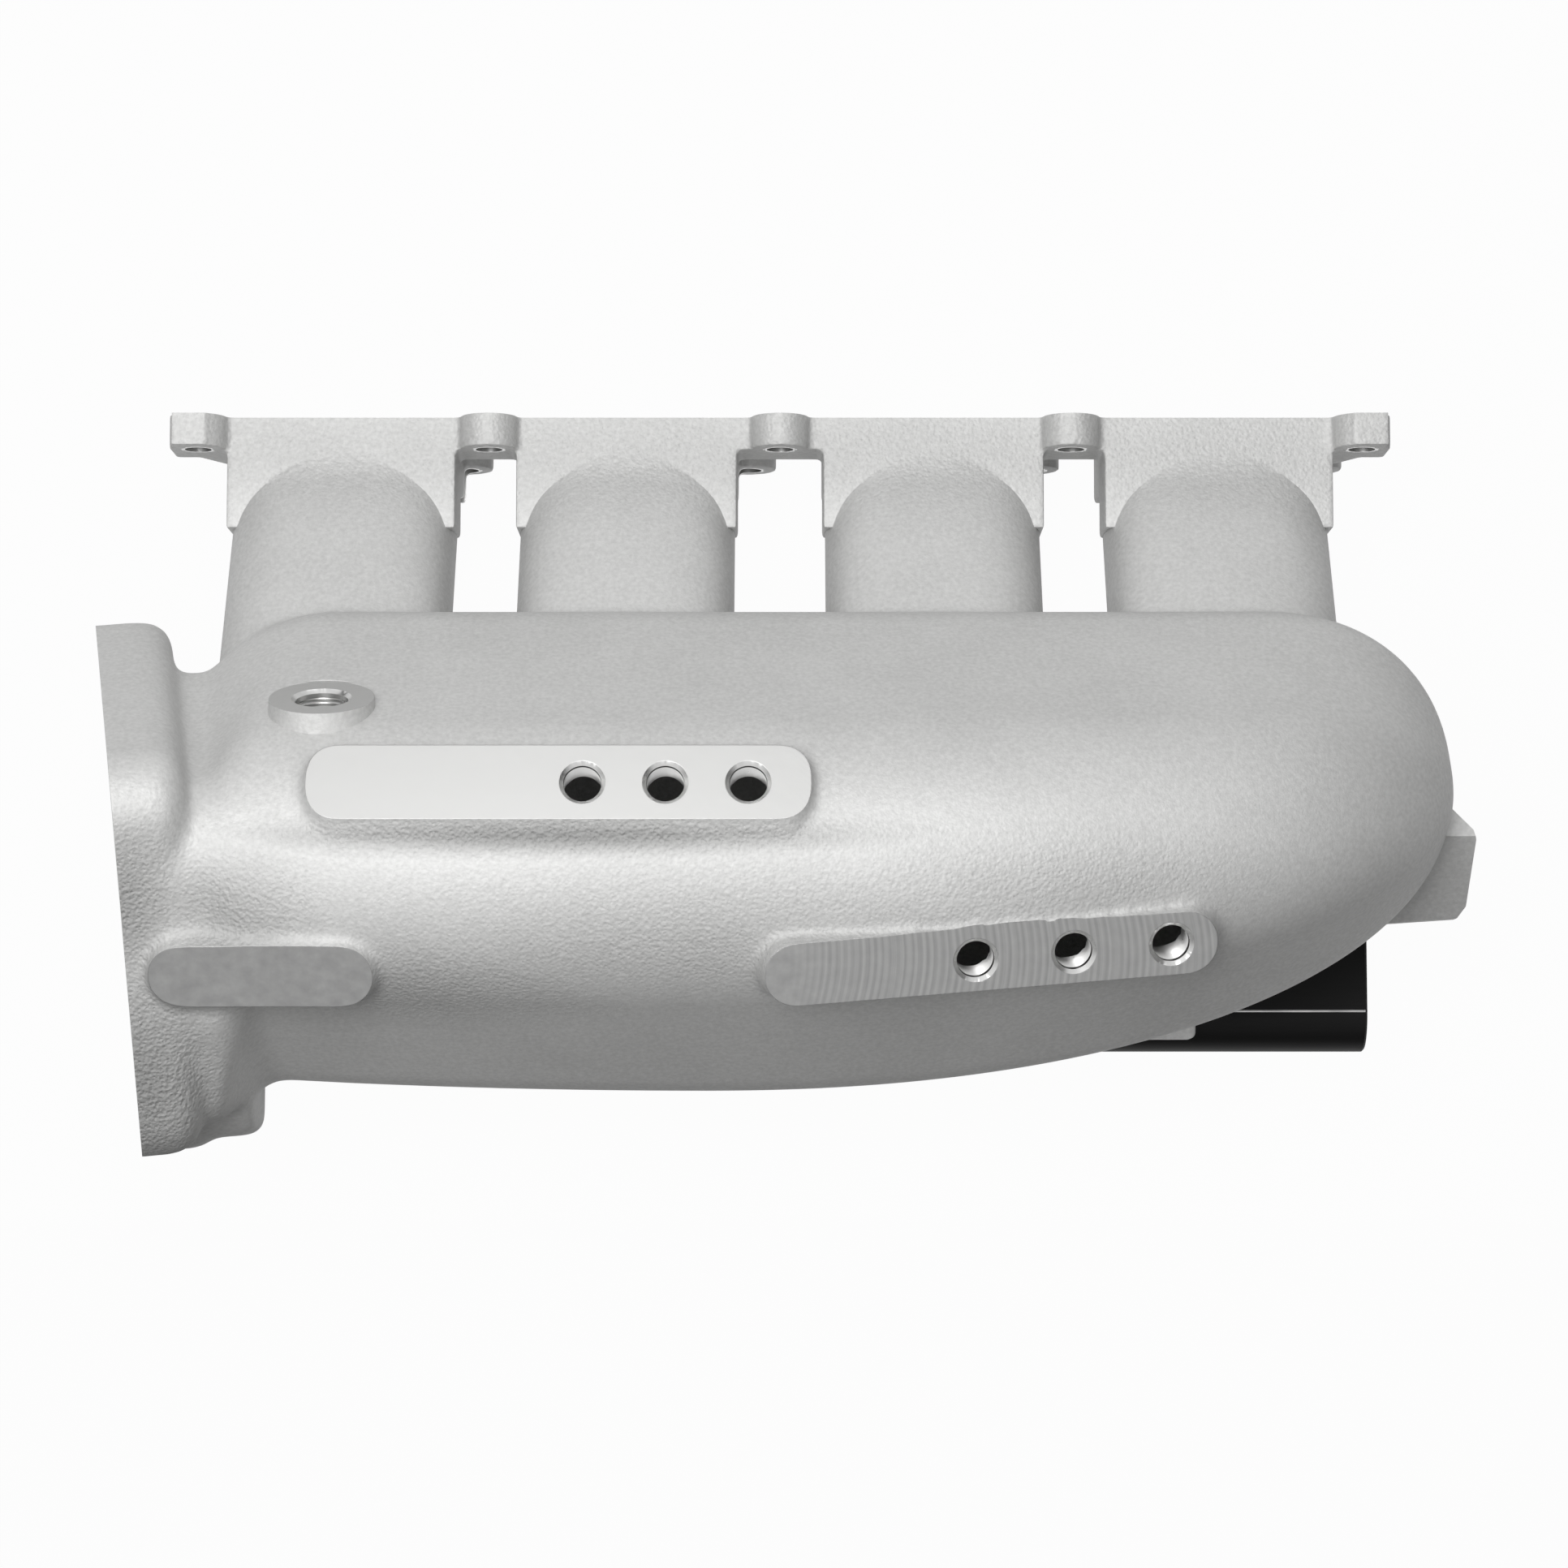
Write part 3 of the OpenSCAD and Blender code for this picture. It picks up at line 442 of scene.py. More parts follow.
def modify(made, kind, **settings):
    """Adds one modifier and applies it."""
    m = made.modifiers.new(kind.lower(), kind)
    for key, value in settings.items():
        setattr(m, key, value)
    return bake(made)


def carve(made, tool, how="DIFFERENCE"):
    """A boolean with a closed tool, which is then removed."""
    modify(made, "BOOLEAN", object=tool, operation=how, solver="MANIFOLD")
    bpy.data.objects.remove(tool)
    return made


def fuse(made, voxel, rounds):
    """Overlapping solids as one skin with soft fillets."""
    modify(made, "REMESH", mode="VOXEL", voxel_size=voxel * MM)
    modify(made, "SMOOTH", factor=smooth_share, iterations=rounds)
    return made


def soften_near(made, at, way, start, full, rounds, bands=5):
    """Extra smoothing that grows in bands with the depth behind a plane and fades far behind."""
    points = np.empty(len(made.data.vertices) * 3)
    made.data.vertices.foreach_get("co", points)
    depth = (np.array(at) - points.reshape(-1, 3) / MM) @ np.array(way)
    grow, fade = (depth - start) / (full - start), (full * 4 - depth) / full
    weight = np.clip(grow, 0, 1) * np.clip(fade, 0, 1)
    group = made.vertex_groups.new(name="blend")
    for level in range(1, bands + 1):
        chosen = np.nonzero(np.ceil(weight * bands) == level)[0]
        group.add(chosen.tolist(), level / bands, "REPLACE")
    modify(made, "SMOOTH", factor=smooth_share, iterations=rounds, vertex_group="blend")


casting = fuse(join(cast_parts, "casting"), body_voxel, body_rounds)
soften_near(casting, throttle_at, face_out, flange_start, flange_full, flange_rounds)
carve(casting, fuse(join(head_parts, "head_end"), head_voxel, head_rounds), "UNION")
bracket_top, slope_front = bracket_z + bracket_h, bracket_crease - bracket_run
slope = [(bracket_crease, bracket_top), (slope_front, bracket_top - bracket_run * bracket_fall),
         (slope_front, bracket_top + slope_high), (bracket_crease, bracket_top + slope_high)]
bracket_block = prism("bracket_boss_body", bracket, bracket_z - proud, bracket_top, axis="Z")
carve(bracket_block, loft("slope", [[(x, y, z) for y, z in slope] for x in slope_ends]))
crisp = join(crisp_parts + [bracket_block], "crisp")
modify(crisp, "BEVEL", width=edge_round * MM, segments=edge_steps, limit_method="ANGLE",
       angle_limit=edge_angle)
carve(casting, crisp, "UNION")

# ----------------------------------------
# Casting: hollows. Sand cores leave the plenum and the four runners open from the throttle
# bore to the head. The runners stand into the plenum as bell-mouthed stubs.
# ----------------------------------------
mouth_flare, bore_relief = 3.0, 1.5
core_voxel, core_rounds = 1.6, 6
core_lap, bore_lap = 8.0, 3.0  # cores overlap, so nothing is left between them
stub_start, head_run_out, bore_run_out = -20.0, 4.0, 4.0

hollow = loft("hollow", [plenum_ring(x, wall) for x in plenum_places(wall)])
bore_circle = [(0.0, 0.0, throttle_bore_r + bore_relief)]
bore_end = face_ring(bore_circle, flange_t, tapered=True)
neck_hollow = [plenum_ring(-neck_x + core_lap, wall)]
neck_hollow += neck_rings(plenum_ring(-neck_x, wall), bore_end)
neck_hollow.append(face_ring(bore_circle, flange_t - bore_lap))
hollow = fuse(join([hollow, loft("neck_hollow", neck_hollow)], "hollow"), core_voxel, core_rounds)
stubs = [loft("stub", runner_rings(i, 0, stub_start, runner_len)) for i in range(4)]
carve(hollow, join(stubs, "stubs"))
cores = [loft("core", runner_rings(i, wall, head_run_out, runner_len + 1, mouth_flare))
         for i in range(4)]
bore = [(0, throttle_bore_r), (flange_t + core_lap, throttle_bore_r)]
bore_at = throttle_at + face_out * bore_run_out
cores.append(turned("throttle_bore", bore, bore_at, -face_out, 128))
carve(hollow, join(cores, "cores"), "UNION")
carve(casting, hollow)

# ----------------------------------------
# Casting: milled faces and tapped holes. Cutters leave crisp flat faces with tool marks, and
# annular ridges stand for the threads.
# ----------------------------------------
port_pitch, port_tap_r, port_chamfer_r = 1.41, 5.6, 6.7
upper_port_deep, lower_port_deep = 16.0, 18.0
sensor_tap_r, sensor_chamfer_r = 7.9, 9.0
upper_ports = [6.95 + 24.2 * i for i in range(3)]  # from the middle of each pad
lower_ports = [-5 + 29.2 * i for i in range(3)]
head_bolt_r, head_bolt_deep = 4.3, 24.0
bolt_thread, bolt_core_r, bolt_chamfer_r = 1.25, 3.4, 4.2
flange_bolt_reach, bolt_roll = 69.0, math.radians(18.6)
flange_bolt_deep, bracket_bolt_deep = 16.0, 12.0
boss_bore_r, boss_chamfer_r, boss_bore_deep, spray_r, spray_len = 7.0, 7.6, 14.0, 4.25, 85.0
bracket_bolt_at, leg_bolt_y, leg_bolt_r, leg_bolt_deep = (201, -143), -172.5, 3.1, 13.0
thread_deep, thread_lap, thread_start = 0.75, 0.1, 1.6
hole_reach, drill_start = 0.9, 3.0  # past a hole's radius, to take in its thread, and above it
milled_faces, drilled_holes = [], []


def milled(place, length, width, corner=0.5, height=20.0):
    """Takes everything off above a face, within a rounded outline on it."""
    milled_faces.append((place, length / 2, width / 2))
    outline = stadium(length, width, corner)
    rings = [[tuple(place @ Vector((u, v, z))) for u, v in outline] for z in (0, height)]
    return loft("mill", rings)


def milled_pad(place, size, past):
    """Mills a pad's top, where the cutter runs some way past its edge."""
    length, width, corner = size
    return milled(place, length + 2 * past, width + 2 * past, corner + past, height=8)


throttle_place = Matrix.Translation(Vector(throttle_at)) @ Matrix(
    [[face_rear[i], face_up[i], face_out[i], 0] for i in range(3)] + [[0, 0, 0, 1]])
mills = [
    milled(placed((0, 0, 0), tilt_x=-90), length=460, width=120),
    milled(throttle_place, length=200, width=200),
    milled_pad(upper_pad, upper_pad_size, past=1.5),
    milled_pad(lower_pad, lower_pad_size, past=1.2),
    milled_pad(blank_pad, blank_pad_size, past=0.7),
    milled_pad(sensor_boss, sensor_boss_size, past=1.0),
    milled(placed((0, leg_y, rail_top), tilt_x=180), length=300, width=60, corner=3, height=9),
    milled(placed((195, -140, bracket_z), tilt_x=180), length=80, width=80, corner=3, height=9),
]
for x in port_x:
    mouth = placed((x, boss_mouth_y, injector_z - 1), tilt_x=90)
    mills.append(milled(mouth, length=30, width=30, corner=14, height=9))
carve(casting, join(mills, "mills"))


def drilled(at, way, radius, depth, chamfer_r=0.0, pitch=0.0, pilot=(), around=72):
    """A drilled hole, with a countersunk mouth and thread ridges where they are given."""
    profile = [(-p, r) for p, r in pilot] + [(-depth, radius)]
    if pitch:
        level = -depth
        while level + pitch < -thread_start:
            profile += [(level + pitch * 0.5, radius + thread_deep),
                        (level + pitch, radius - thread_lap)]
            level += pitch
    if chamfer_r:
        profile += [(radius - chamfer_r, radius), (0, chamfer_r),
                    (drill_start, chamfer_r + drill_start)]
    else:
        profile += [(drill_start, radius)]
    drilled_holes.append((at, way, max(radius, chamfer_r) + hole_reach, depth))
    return turned("drill", profile, at, way, around)


def port(place, u, deep, radius=port_tap_r, chamfer_r=port_chamfer_r):
    """A tapped port at a point along a pad's middle line, square to the pad."""
    at, way = place @ Vector((u, 0, 0)), place.to_3x3() @ Vector((0, 0, 1))
    return drilled(tuple(at), tuple(way), radius, deep, chamfer_r, port_pitch)


def bolt_hole(at, way, depth):
    """A tapped hole for a bolt."""
    return drilled(at, way, bolt_core_r, depth, bolt_chamfer_r, bolt_thread, around=48)


drills = [port(upper_pad, u, upper_port_deep) for u in upper_ports]
drills += [port(lower_pad, u, lower_port_deep) for u in lower_ports]
drills.append(port(sensor_boss, 0, lower_port_deep, sensor_tap_r, sensor_chamfer_r))
for x, z in [(x, upper_hole_z) for x in upper_x] + [(x, -lower_hole_z) for x in lower_x]:
    drills.append(drilled((x, 0, z), (0, 1, 0), head_bolt_r, head_bolt_deep))
for k in range(4):
    a = math.radians(45 + 90 * k) + bolt_roll
    at = throttle_at + flange_bolt_reach * (face_rear * math.cos(a) + face_up * math.sin(a))
    drills.append(bolt_hole(tuple(at), tuple(face_out), flange_bolt_deep))
for x in port_x:
    drills.append(drilled((x, boss_mouth_y, injector_z), (0, -1, 0), boss_bore_r, boss_bore_deep,
                          boss_chamfer_r, pilot=((spray_len, spray_r), (boss_bore_deep, spray_r))))
drills.append(bolt_hole((*bracket_bolt_at, bracket_z), (0, 0, -1), bracket_bolt_deep))
for s in (-1, 1):
    drills.append(drilled((s * leg_x, leg_bolt_y, rail_top), (0, 0, -1), leg_bolt_r,
                          leg_bolt_deep, around=48))
carve(casting, join(drills, "drills"))

# ----------------------------------------
# Casting: finish. Sand-cast aluminium, blasted to a pale even grey, coarser where the mould
# sand stood rough, where its colour is also darkened as painted shade. The milled faces are bright
# with the arcs of the cutter.
# ----------------------------------------
# In metres, and all three coarser than the real ones, which are too fine to show
grain = 0.0007  # between the grains of a blasted face
rough_grain = 0.0011  # between the pits of rough mould sand
cutter_feed = 0.0022  # between the arcs of the cutter, in place of 0.2 mm
grain_depth, pit_depth, arc_depth = 0.00014, 0.0006, 0.00003  # of each relief
cutter_r, cutter_mid_y = 0.045, -0.181
arcs_from, arcs_to = 0.0, 0.02  # the arcs fade in here along X, as the left is rubbed off
clean_from, clean_to = -0.165, -0.150  # behind here along Y the milling is clean and bright
milled_edge = 0.0005  # the rounding that a milled face's rim shows
arc_share, rub_share = 0.18, 0.4  # of the arcs against the passes, and of rubbing in them
cast_metallic, cast_rough = 0.35, 0.6
painted_shade_share = 0.6  # how far the rough sand zones darken the metal's colour, as painted shade


def linear(code):
    """An sRGB hex colour as the linear values that a shader takes."""
    parts = [int(code[i:i + 2], 16) / 255 for i in (1, 3, 5)]
    return tuple(c / 12.92 if c <= 0.04045 else ((c + 0.055) / 1.055) ** 2.4
                 for c in parts) + (1.0,)


def add_node(tree, kind, inputs=None, **settings):
    """Adds a shader node with its settings. Its inputs are constants or sockets to link."""
    made = tree.nodes.new("ShaderNode" + kind)
    for key, value in settings.items():
        setattr(made, key, value)
    for key, value in (inputs or {}).items():
        if isinstance(value, bpy.types.NodeSocket):
            tree.links.new(value, made.inputs[key])
        else:
            made.inputs[key].default_value = value
    return made


def compute(tree, operation, *values):
    """A sum on numbers or sockets."""
    return add_node(tree, "Math", dict(enumerate(values)), operation=operation).outputs[0]


def noise(tree, at, scale, detail, **more):
    """Noise about 0.5 over the places that a socket gives, in metres."""
    inputs = {"Vector": at, "Scale": scale, "Detail": detail, **more}
    return add_node(tree, "TexNoise", inputs).outputs["Fac"]


def rise(tree, value, start, end):
    """0 up to the start, 1 from the end on and even between them."""
    inputs = {"Value": value, "From Min": start, "From Max": end}
    return add_node(tree, "MapRange", inputs).outputs["Result"]


def spread(tree, value, low, high):
    """A value from 0 to 1 as one between two limits."""
    inputs = {"Value": value, "To Min": low, "To Max": high}
    return add_node(tree, "MapRange", inputs).outputs["Result"]


def tint(tree, share, first, second):
    """From a first colour, which may be a socket, to a second."""
    first = linear(first) if isinstance(first, str) else first
    inputs = {"Fac": share, "Color1": first, "Color2": linear(second)}
    return add_node(tree, "MixRGB", inputs).outputs["Color"]


def bump(tree, height, depth, strength, **more):
    """A normal that stands for a relief of some depth in metres."""
    inputs = {"Height": height, "Distance": depth, "Strength": strength, **more}
    return add_node(tree, "Bump", inputs).outputs["Normal"]


def new_material(name):
    """An empty node material and its tree."""
    material = bpy.data.materials.new(name)
    material.use_nodes = True
    material.node_tree.nodes.clear()
    return material, material.node_tree


def local_place(tree):
    """The place on the object, in metres."""
    return add_node(tree, "TexCoord").outputs["Object"]


def surface(tree, colour, **inputs):
    """Ends a material in one surface, whose colour may be a socket."""
    inputs["Base Color"] = linear(colour) if isinstance(colour, str) else colour
    inputs = {key.replace("_", " "): value for key, value in inputs.items()}
    shader = add_node(tree, "BsdfPrincipled", inputs).outputs["BSDF"]
    add_node(tree, "OutputMaterial", {"Surface": shader})


# Sand-cast aluminium, bead blasted: the matt grain scatters the light, so no edge glints.
cast_aluminium, tree = new_material("cast_aluminium_blasted")
at = local_place(tree)
sand_and_shade = add_node(tree, "Attribute", attribute_name="sand_and_shade").outputs["Fac"]
patches = noise(tree, at, 28.0, 3.0)
specks = noise(tree, at, 0.5 / grain, 2.0)
tone = rise(tree, compute(tree, "MULTIPLY_ADD", patches, 0.4, specks), 0.45, 0.95)
shade = tint(tree, tone, "#C3C3C2", "#D4D4D3")
# Painted shade: the sand zones also darken the colour towards a dark grey, most on faces that turn
# from the lamp
shade = tint(tree, compute(tree, "MULTIPLY", sand_and_shade, painted_shade_share), shade, "#8C8C8B")
fine = noise(tree, at, 1 / grain, 2.0, Roughness=0.6)
pits = add_node(tree, "TexVoronoi", {"Vector": at, "Scale": 1 / rough_grain},
                feature="SMOOTH_F1").outputs["Distance"]
clumps = noise(tree, at, 0.7 / rough_grain, 6.0, Roughness=0.7)
coarse = compute(tree, "MULTIPLY", compute(tree, "ADD", pits, clumps), sand_and_shade)
relief = bump(tree, fine, grain_depth, 0.6)
relief = bump(tree, coarse, pit_depth, 1.0, Normal=relief)
surface(tree, shade, Metallic=cast_metallic, Roughness=cast_rough, Normal=relief)

# Aluminium milled with a fly cutter: bright metal, with faint arcs that break up the reflection.
milled_aluminium, tree = new_material("milled_aluminium")
at = local_place(tree)
axes = add_node(tree, "SeparateXYZ", {"Vector": at}).outputs
across = compute(tree, "ADD", axes["Y"], -cutter_mid_y)
arc = compute(tree, "MULTIPLY", across, across)
arc = compute(tree, "MULTIPLY_ADD", arc, 0.5 / cutter_r, axes["X"])
turns = compute(tree, "MULTIPLY", arc, 2 * math.pi / cutter_feed)
unworn = rise(tree, axes["X"], arcs_from, arcs_to)
wave = compute(tree, "MULTIPLY", compute(tree, "SINE", turns), unworn)
passes = add_node(tree, "TexNoise", {"W": turns, "Scale": 0.35, "Detail": 2.0},
                  noise_dimensions="1D").outputs["Fac"]
smears = noise(tree, at, 260.0, 4.0)
passes = add_node(tree, "Mix", {"Factor": unworn, "A": smears, "B": passes}).outputs["Result"]
passes = add_node(tree, "Mix", {"Factor": rub_share, "A": passes, "B": smears}).outputs["Result"]
marks = compute(tree, "MULTIPLY_ADD", wave, arc_share, passes)
shade = tint(tree, marks, "#858585", "#A6A6A5")
shade = tint(tree, rise(tree, axes["Y"], clean_from, clean_to), shade, "#AFAFAE")
edge = add_node(tree, "Bevel", {"Radius": milled_edge}).outputs["Normal"]
ripple = bump(tree, marks, arc_depth, 0.5, Normal=edge)
surface(tree, shade, Metallic=1.0, Roughness=spread(tree, marks, 0.46, 0.36), Normal=ripple)

# Aluminium cut by drills and taps: bright ridges over dark roots, so a thread reads as rings.
tapped_aluminium, tree = new_material("tapped_aluminium")
smears = noise(tree, local_place(tree), 500.0, 2.0)
surface(tree, "#C9C9C8", Metallic=1.0, Roughness=spread(tree, smears, 0.22, 0.42))

casting.data.materials.clear()
for material in (cast_aluminium, milled_aluminium, tapped_aluminium):
    casting.data.materials.append(material)
as_cast, as_milled, as_tapped = 0, 1, 2  # the slots of the three finishes
flat_within, square_within, hole_within = 0.05, 0.999, 0.3
count = len(casting.data.polygons)
centres, normals = np.empty(count * 3), np.empty(count * 3)
casting.data.polygons.foreach_get("center", centres)
casting.data.polygons.foreach_get("normal", normals)
centres, normals = centres.reshape(-1, 3) / MM, normals.reshape(-1, 3)
finish = np.full(count, as_cast, dtype=np.int32)
for face, half_l, half_w in milled_faces:
    turn, origin = np.array(face.to_3x3()), np.array(face.translation)
    local = (centres - origin) @ turn
    flat = (np.abs(local[:, 2]) < flat_within) & (normals @ turn[:, 2] > square_within)
    inside = np.all(np.abs(local[:, :2]) < (half_l, half_w), axis=1)
    finish[flat & inside] = as_milled
for at, way, reach, depth in drilled_holes:
    away = centres - np.array(at)
    along = away @ np.array(way)
    off = np.linalg.norm(away - np.outer(along, way), axis=1)
    deep = (along < hole_within) & (along > -depth - hole_within)
    finish[(off < reach) & deep & (finish == as_cast)] = as_tapped
casting.data.shade_smooth()
casting.data.set_sharp_from_angle(angle=math.radians(34))
casting.data.polygons.foreach_set("material_index", finish)
casting.data.polygons.foreach_set("use_smooth", finish != as_milled)

# Where the mould sand was rough, and where the colour is darkened as painted shade, most on the
# flange's front side, the upper pad's skirt and the head end's roofs: place and reach in mm, and
# how strong
even_sand = 0.06
rough_sand_and_shade = [
    ((-192, -164, 148), (18, 26, 30), 1.0),  # under the flange's upper corner
    ((-190, -218, 110), (22, 36, 60), 1.3),  # front side of the flange
    ((-160, -174, 148), (26, 26, 20), 0.75),  # hollow between the flange and the blank pad
    ((-115, -188, 132), (60, 24, 20), 0.6),  # neck
    ((-64, -146, 150), (82, 5, 12), 1.2),  # skirt of the upper pad
    ((0, -172, 142), (130, 24, 18), 0.5),  # shoulder between the pads
    ((80, -160, 146), (80, 16, 18), 0.45),  # behind the lower pad
    ((-190, -160, 20), (20, 60, 40), 0.8),  # belly of the flange
    ((0, -12, 22), (420, 24, 32), 0.42),  # head end
]
points = np.empty(len(casting.data.vertices) * 3)
casting.data.vertices.foreach_get("co", points)
points = points.reshape(-1, 3) / MM
amount = np.full(len(points), even_sand)
for at, reach, strength in rough_sand_and_shade:
    fall = np.exp(-np.sum(((points - at) / reach) ** 2, axis=1))
    amount = np.maximum(amount, strength * fall)
sand_and_shade_values = casting.data.attributes.new("sand_and_shade", "FLOAT", "POINT").data
sand_and_shade_values.foreach_set("value", amount.astype(np.float32))
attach(casting, "root")
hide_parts("head_flange", "runner_1", "runner_2", "runner_3", "runner_4",
            "plenum_shell", "throttle_neck", "throttle_flange", "vacuum_pad", "sensor_pad",
            "blank_pad", "sensor_boss", "bracket_boss", "neck_lug", "rail_leg_left",
            "rail_leg_right")

# ----------------------------------------
# Fuel rail. A D-shaped bar of extruded aluminium, bored through as the fuel gallery, with four
# injector cups at its back. It is black anodised and bolted to the casting's two legs.
# ----------------------------------------
rail_left, rail_right, rail_back, rail_r, rail_block_w = -168.0, 191.5, 191.0, 12.5, 35.5
rail_face, rail_bottom = -rail_back + rail_block_w, injector_z - rail_r
rail_corner, rail_chamfer = 1.2, 0.7
seam_w, seam_h = 0.7, 0.2  # the die's seam where the flat back runs into the round front
gallery_r, end_thread_r, end_thread_len = 6.5, 7.9, 14.0
cup_r, cup_deep, feed_r, feed_end = 7.0, 14.0, 3.5, 33.0
screw_way_r, head_way_r, head_recess = 3.3, 6.5, 6.5


def rail_ring(x, inset):
    """The rail's section at x, drawn in by an inset."""
    r = rail_r - inset
    front = [(-rail_back + r * math.cos(a), injector_z + r * math.sin(a))
             for a in np.linspace(math.pi / 2, 3 * math.pi / 2, 48)]
    peak = (-rail_back + seam_w / 2, injector_z + r + seam_h)
    front = [(-rail_back + seam_w, front[0][1]), peak] + front
    r = rail_corner - inset
    back = []
    for s, start in ((-1, -math.pi / 2), (1, 0.0)):
        for a in np.linspace(start, start + math.pi / 2, 6):
            back.append((rail_face - rail_corner + r * math.cos(a),
                         injector_z + s * (rail_r - rail_corner) + r * math.sin(a)))
    return [(x, y, z) for y, z in front + back]


rail = loft("fuel_rail_bar", [
    rail_ring(rail_left, rail_chamfer), rail_ring(rail_left + rail_chamfer, 0),
    rail_ring(rail_right - rail_chamfer, 0), rail_ring(rail_right, rail_chamfer)])
rail_len = rail_right - rail_left
gallery = [(-1, end_thread_r + 1.5), (0.5, end_thread_r), (end_thread_len, end_thread_r),
           (end_thread_len, gallery_r), (rail_len - end_thread_len, gallery_r),
           (rail_len - end_thread_len, end_thread_r), (rail_len - 0.5, end_thread_r),
           (rail_len + 1, end_thread_r + 1.5)]
carve(rail, turned("gallery", gallery, (rail_left, -rail_back, injector_z), (1, 0, 0), 96))
cup = [(-1, cup_r + 1.2), (0.6, cup_r), (cup_deep, cup_r), (cup_deep, feed_r), (feed_end, feed_r)]
bolt_way = [(-1, head_way_r + 0.6), (0.4, head_way_r), (head_recess, head_way_r),
            (head_recess, screw_way_r), (26, screw_way_r)]
holes = [turned("cup", cup, (x, rail_face, injector_z), (0, -1, 0)) for x in port_x]
holes += [turned("bolt_way", bolt_way, (s * leg_x, leg_bolt_y, rail_bottom), (0, 0, 1))
          for s in (-1, 1)]
carve(rail, join(holes, "holes"))
rail.data.shade_smooth()
rail.data.set_sharp_from_angle(angle=math.radians(25))

# Aluminium, etched matt and anodised black: dark as ink, with hardly any sheen.
black_anodised, tree = new_material("aluminium_anodised_black")
drawn_out = (0.04, 1.0, 1.0)  # the lines of the die run along the bar
drawn = add_node(tree, "Mapping", {"Vector": local_place(tree), "Scale": drawn_out})
lines = noise(tree, drawn.outputs["Vector"], 1200.0, 2.0)
surface(tree, "#0D0D0D", Roughness=spread(tree, lines, 0.44, 0.56), IOR=1.6,
        Specular_IOR_Level=0.1, Normal=bump(tree, lines, 0.00002, 0.4))

# The same aluminium, bare and bright along the seam of the crown: a thin light line, a painted
# highlight.
seam_highlight_metal, tree = new_material("aluminium_seam_highlight")
highlight_streaks = noise(tree, local_place(tree), 120.0, 3.0)
surface(tree, tint(tree, highlight_streaks, "#6A6A6A", "#F0F0F0"), Metallic=1.0, Roughness=0.4)

rail.data.materials.clear()
rail.data.materials.append(black_anodised)
rail.data.materials.append(seam_highlight_metal)
# The faces along the crown's seam take the bright strip, a painted highlight
for face in rail.data.polygons:
    y, z = face.center.y / MM + rail_back, face.center.z / MM - injector_z
    if 0 < y < seam_w and z > rail_r and abs(face.normal.x) < 0.1:
        face.material_index = 1
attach(rail, "root")
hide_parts("fuel_rail")

# ----------------------------------------
# Rail fittings: a hexagon barb with its O-ring at the hidden left end, a flush socket plug at
# the right end, and two M6 cap screws with washers from below. Zinc-plated steel.
# ----------------------------------------
# Steel, zinc plated and bright: a grey metal whose turned faces keep fine rings.
zinc_steel, tree = new_material("steel_zinc_plated")
smears = noise(tree, local_place(tree), 350.0, 3.0)
surface(tree, "#B4B5B8", Metallic=1.0, Roughness=spread(tree, smears, 0.24, 0.42))

# Nitrile rubber, moulded: matt black with a weak sheen.
nitrile, tree = new_material("nitrile_moulded")
bloom = noise(tree, local_place(tree), 250.0, 2.0)
surface(tree, "#1B1B1B", Roughness=spread(tree, bloom, 0.5, 0.7), IOR=1.52)


def coat(piece, material):
    """Gives a piece its one material."""
    piece.data.materials.clear()
    piece.data.materials.append(material)


def dress(piece, material, node):
    """Gives a piece smooth shading and its material in a slot, and hides the solid that it stands
    for.
    """
    piece.data.shade_smooth()
    piece.data.set_sharp_from_angle(angle=math.radians(30))
    coat(piece, material)
    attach(piece, "root")
    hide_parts(node)


# Profiles are (along, radius), outwards from the rail's end
thread_r, bore_r, hex_r, hex_bevel = 7.8, 3.75, 10.0, 0.8
hexagon = [(2, hex_r - hex_bevel), (2 + hex_bevel, hex_r), (10 - hex_bevel, hex_r),
           (10, hex_r - hex_bevel)]
stem = [(9, 5.9), (15, 5.9), (15, 7.0), (19, 4.75)]
spigot = [(-11.5, 7.2), (-11, thread_r), (-0.5, thread_r), (0, 6.2), (3, 6.2)]
way = [(-20, bore_r), (18.6, bore_r), (25, 10.2)]
left_end, outwards = (rail_left, -rail_back, injector_z), (-1, 0, 0)
fitting = turned("rail_inlet_hexagon", hexagon, left_end, outwards, 6)
carve(fitting, turned("stem", stem, left_end, outwards, 48), "UNION")
carve(fitting, turned("spigot", spigot, left_end, outwards, 48), "UNION")
carve(fitting, turned("way", way, left_end, outwards, 48))
dress(fitting, zinc_steel, "rail_inlet_fitting")

body = [(-12, 7.3), (-11.5, thread_r), (-0.9, thread_r), (-0.5, 7.4)]
socket = [(-6.5, 4.6), (-0.9, 4.6), (1, 6.5)]
right_end, outwards = (rail_right, -rail_back, injector_z), (1, 0, 0)
plug = turned("rail_end_plug_body", body, right_end, outwards, 64)
carve(plug, turned("socket", socket, right_end, outwards, 6))
dress(plug, zinc_steel, "rail_end_plug")

washer_t, head_h, head_r, screw_r, screw_len = 1.6, 6.0, 5.0, 3.0, 30.1
cap_screw = [(-head_h, head_r - 0.5), (0.5 - head_h, head_r), (0, head_r), (0, screw_r),
             (screw_len, screw_r)]
socket = [(-8, 4.9), (-5.8, 2.9), (-3, 2.9)]
screws = []
for s in (-1, 1):
    at = (s * leg_x, leg_bolt_y, rail_bottom + head_recess - washer_t)
    screw = turned("cap_screw", cap_screw, at, (0, 0, 1), 48)
    screws.append(carve(screw, turned("socket", socket, at, (0, 0, 1), 6)))
dress(join(screws, "rail_cap_screws"), zinc_steel, "rail_bolts")
coat(bpy.data.objects["rail_washers"], zinc_steel)
coat(bpy.data.objects["rail_inlet_seal"], nitrile)

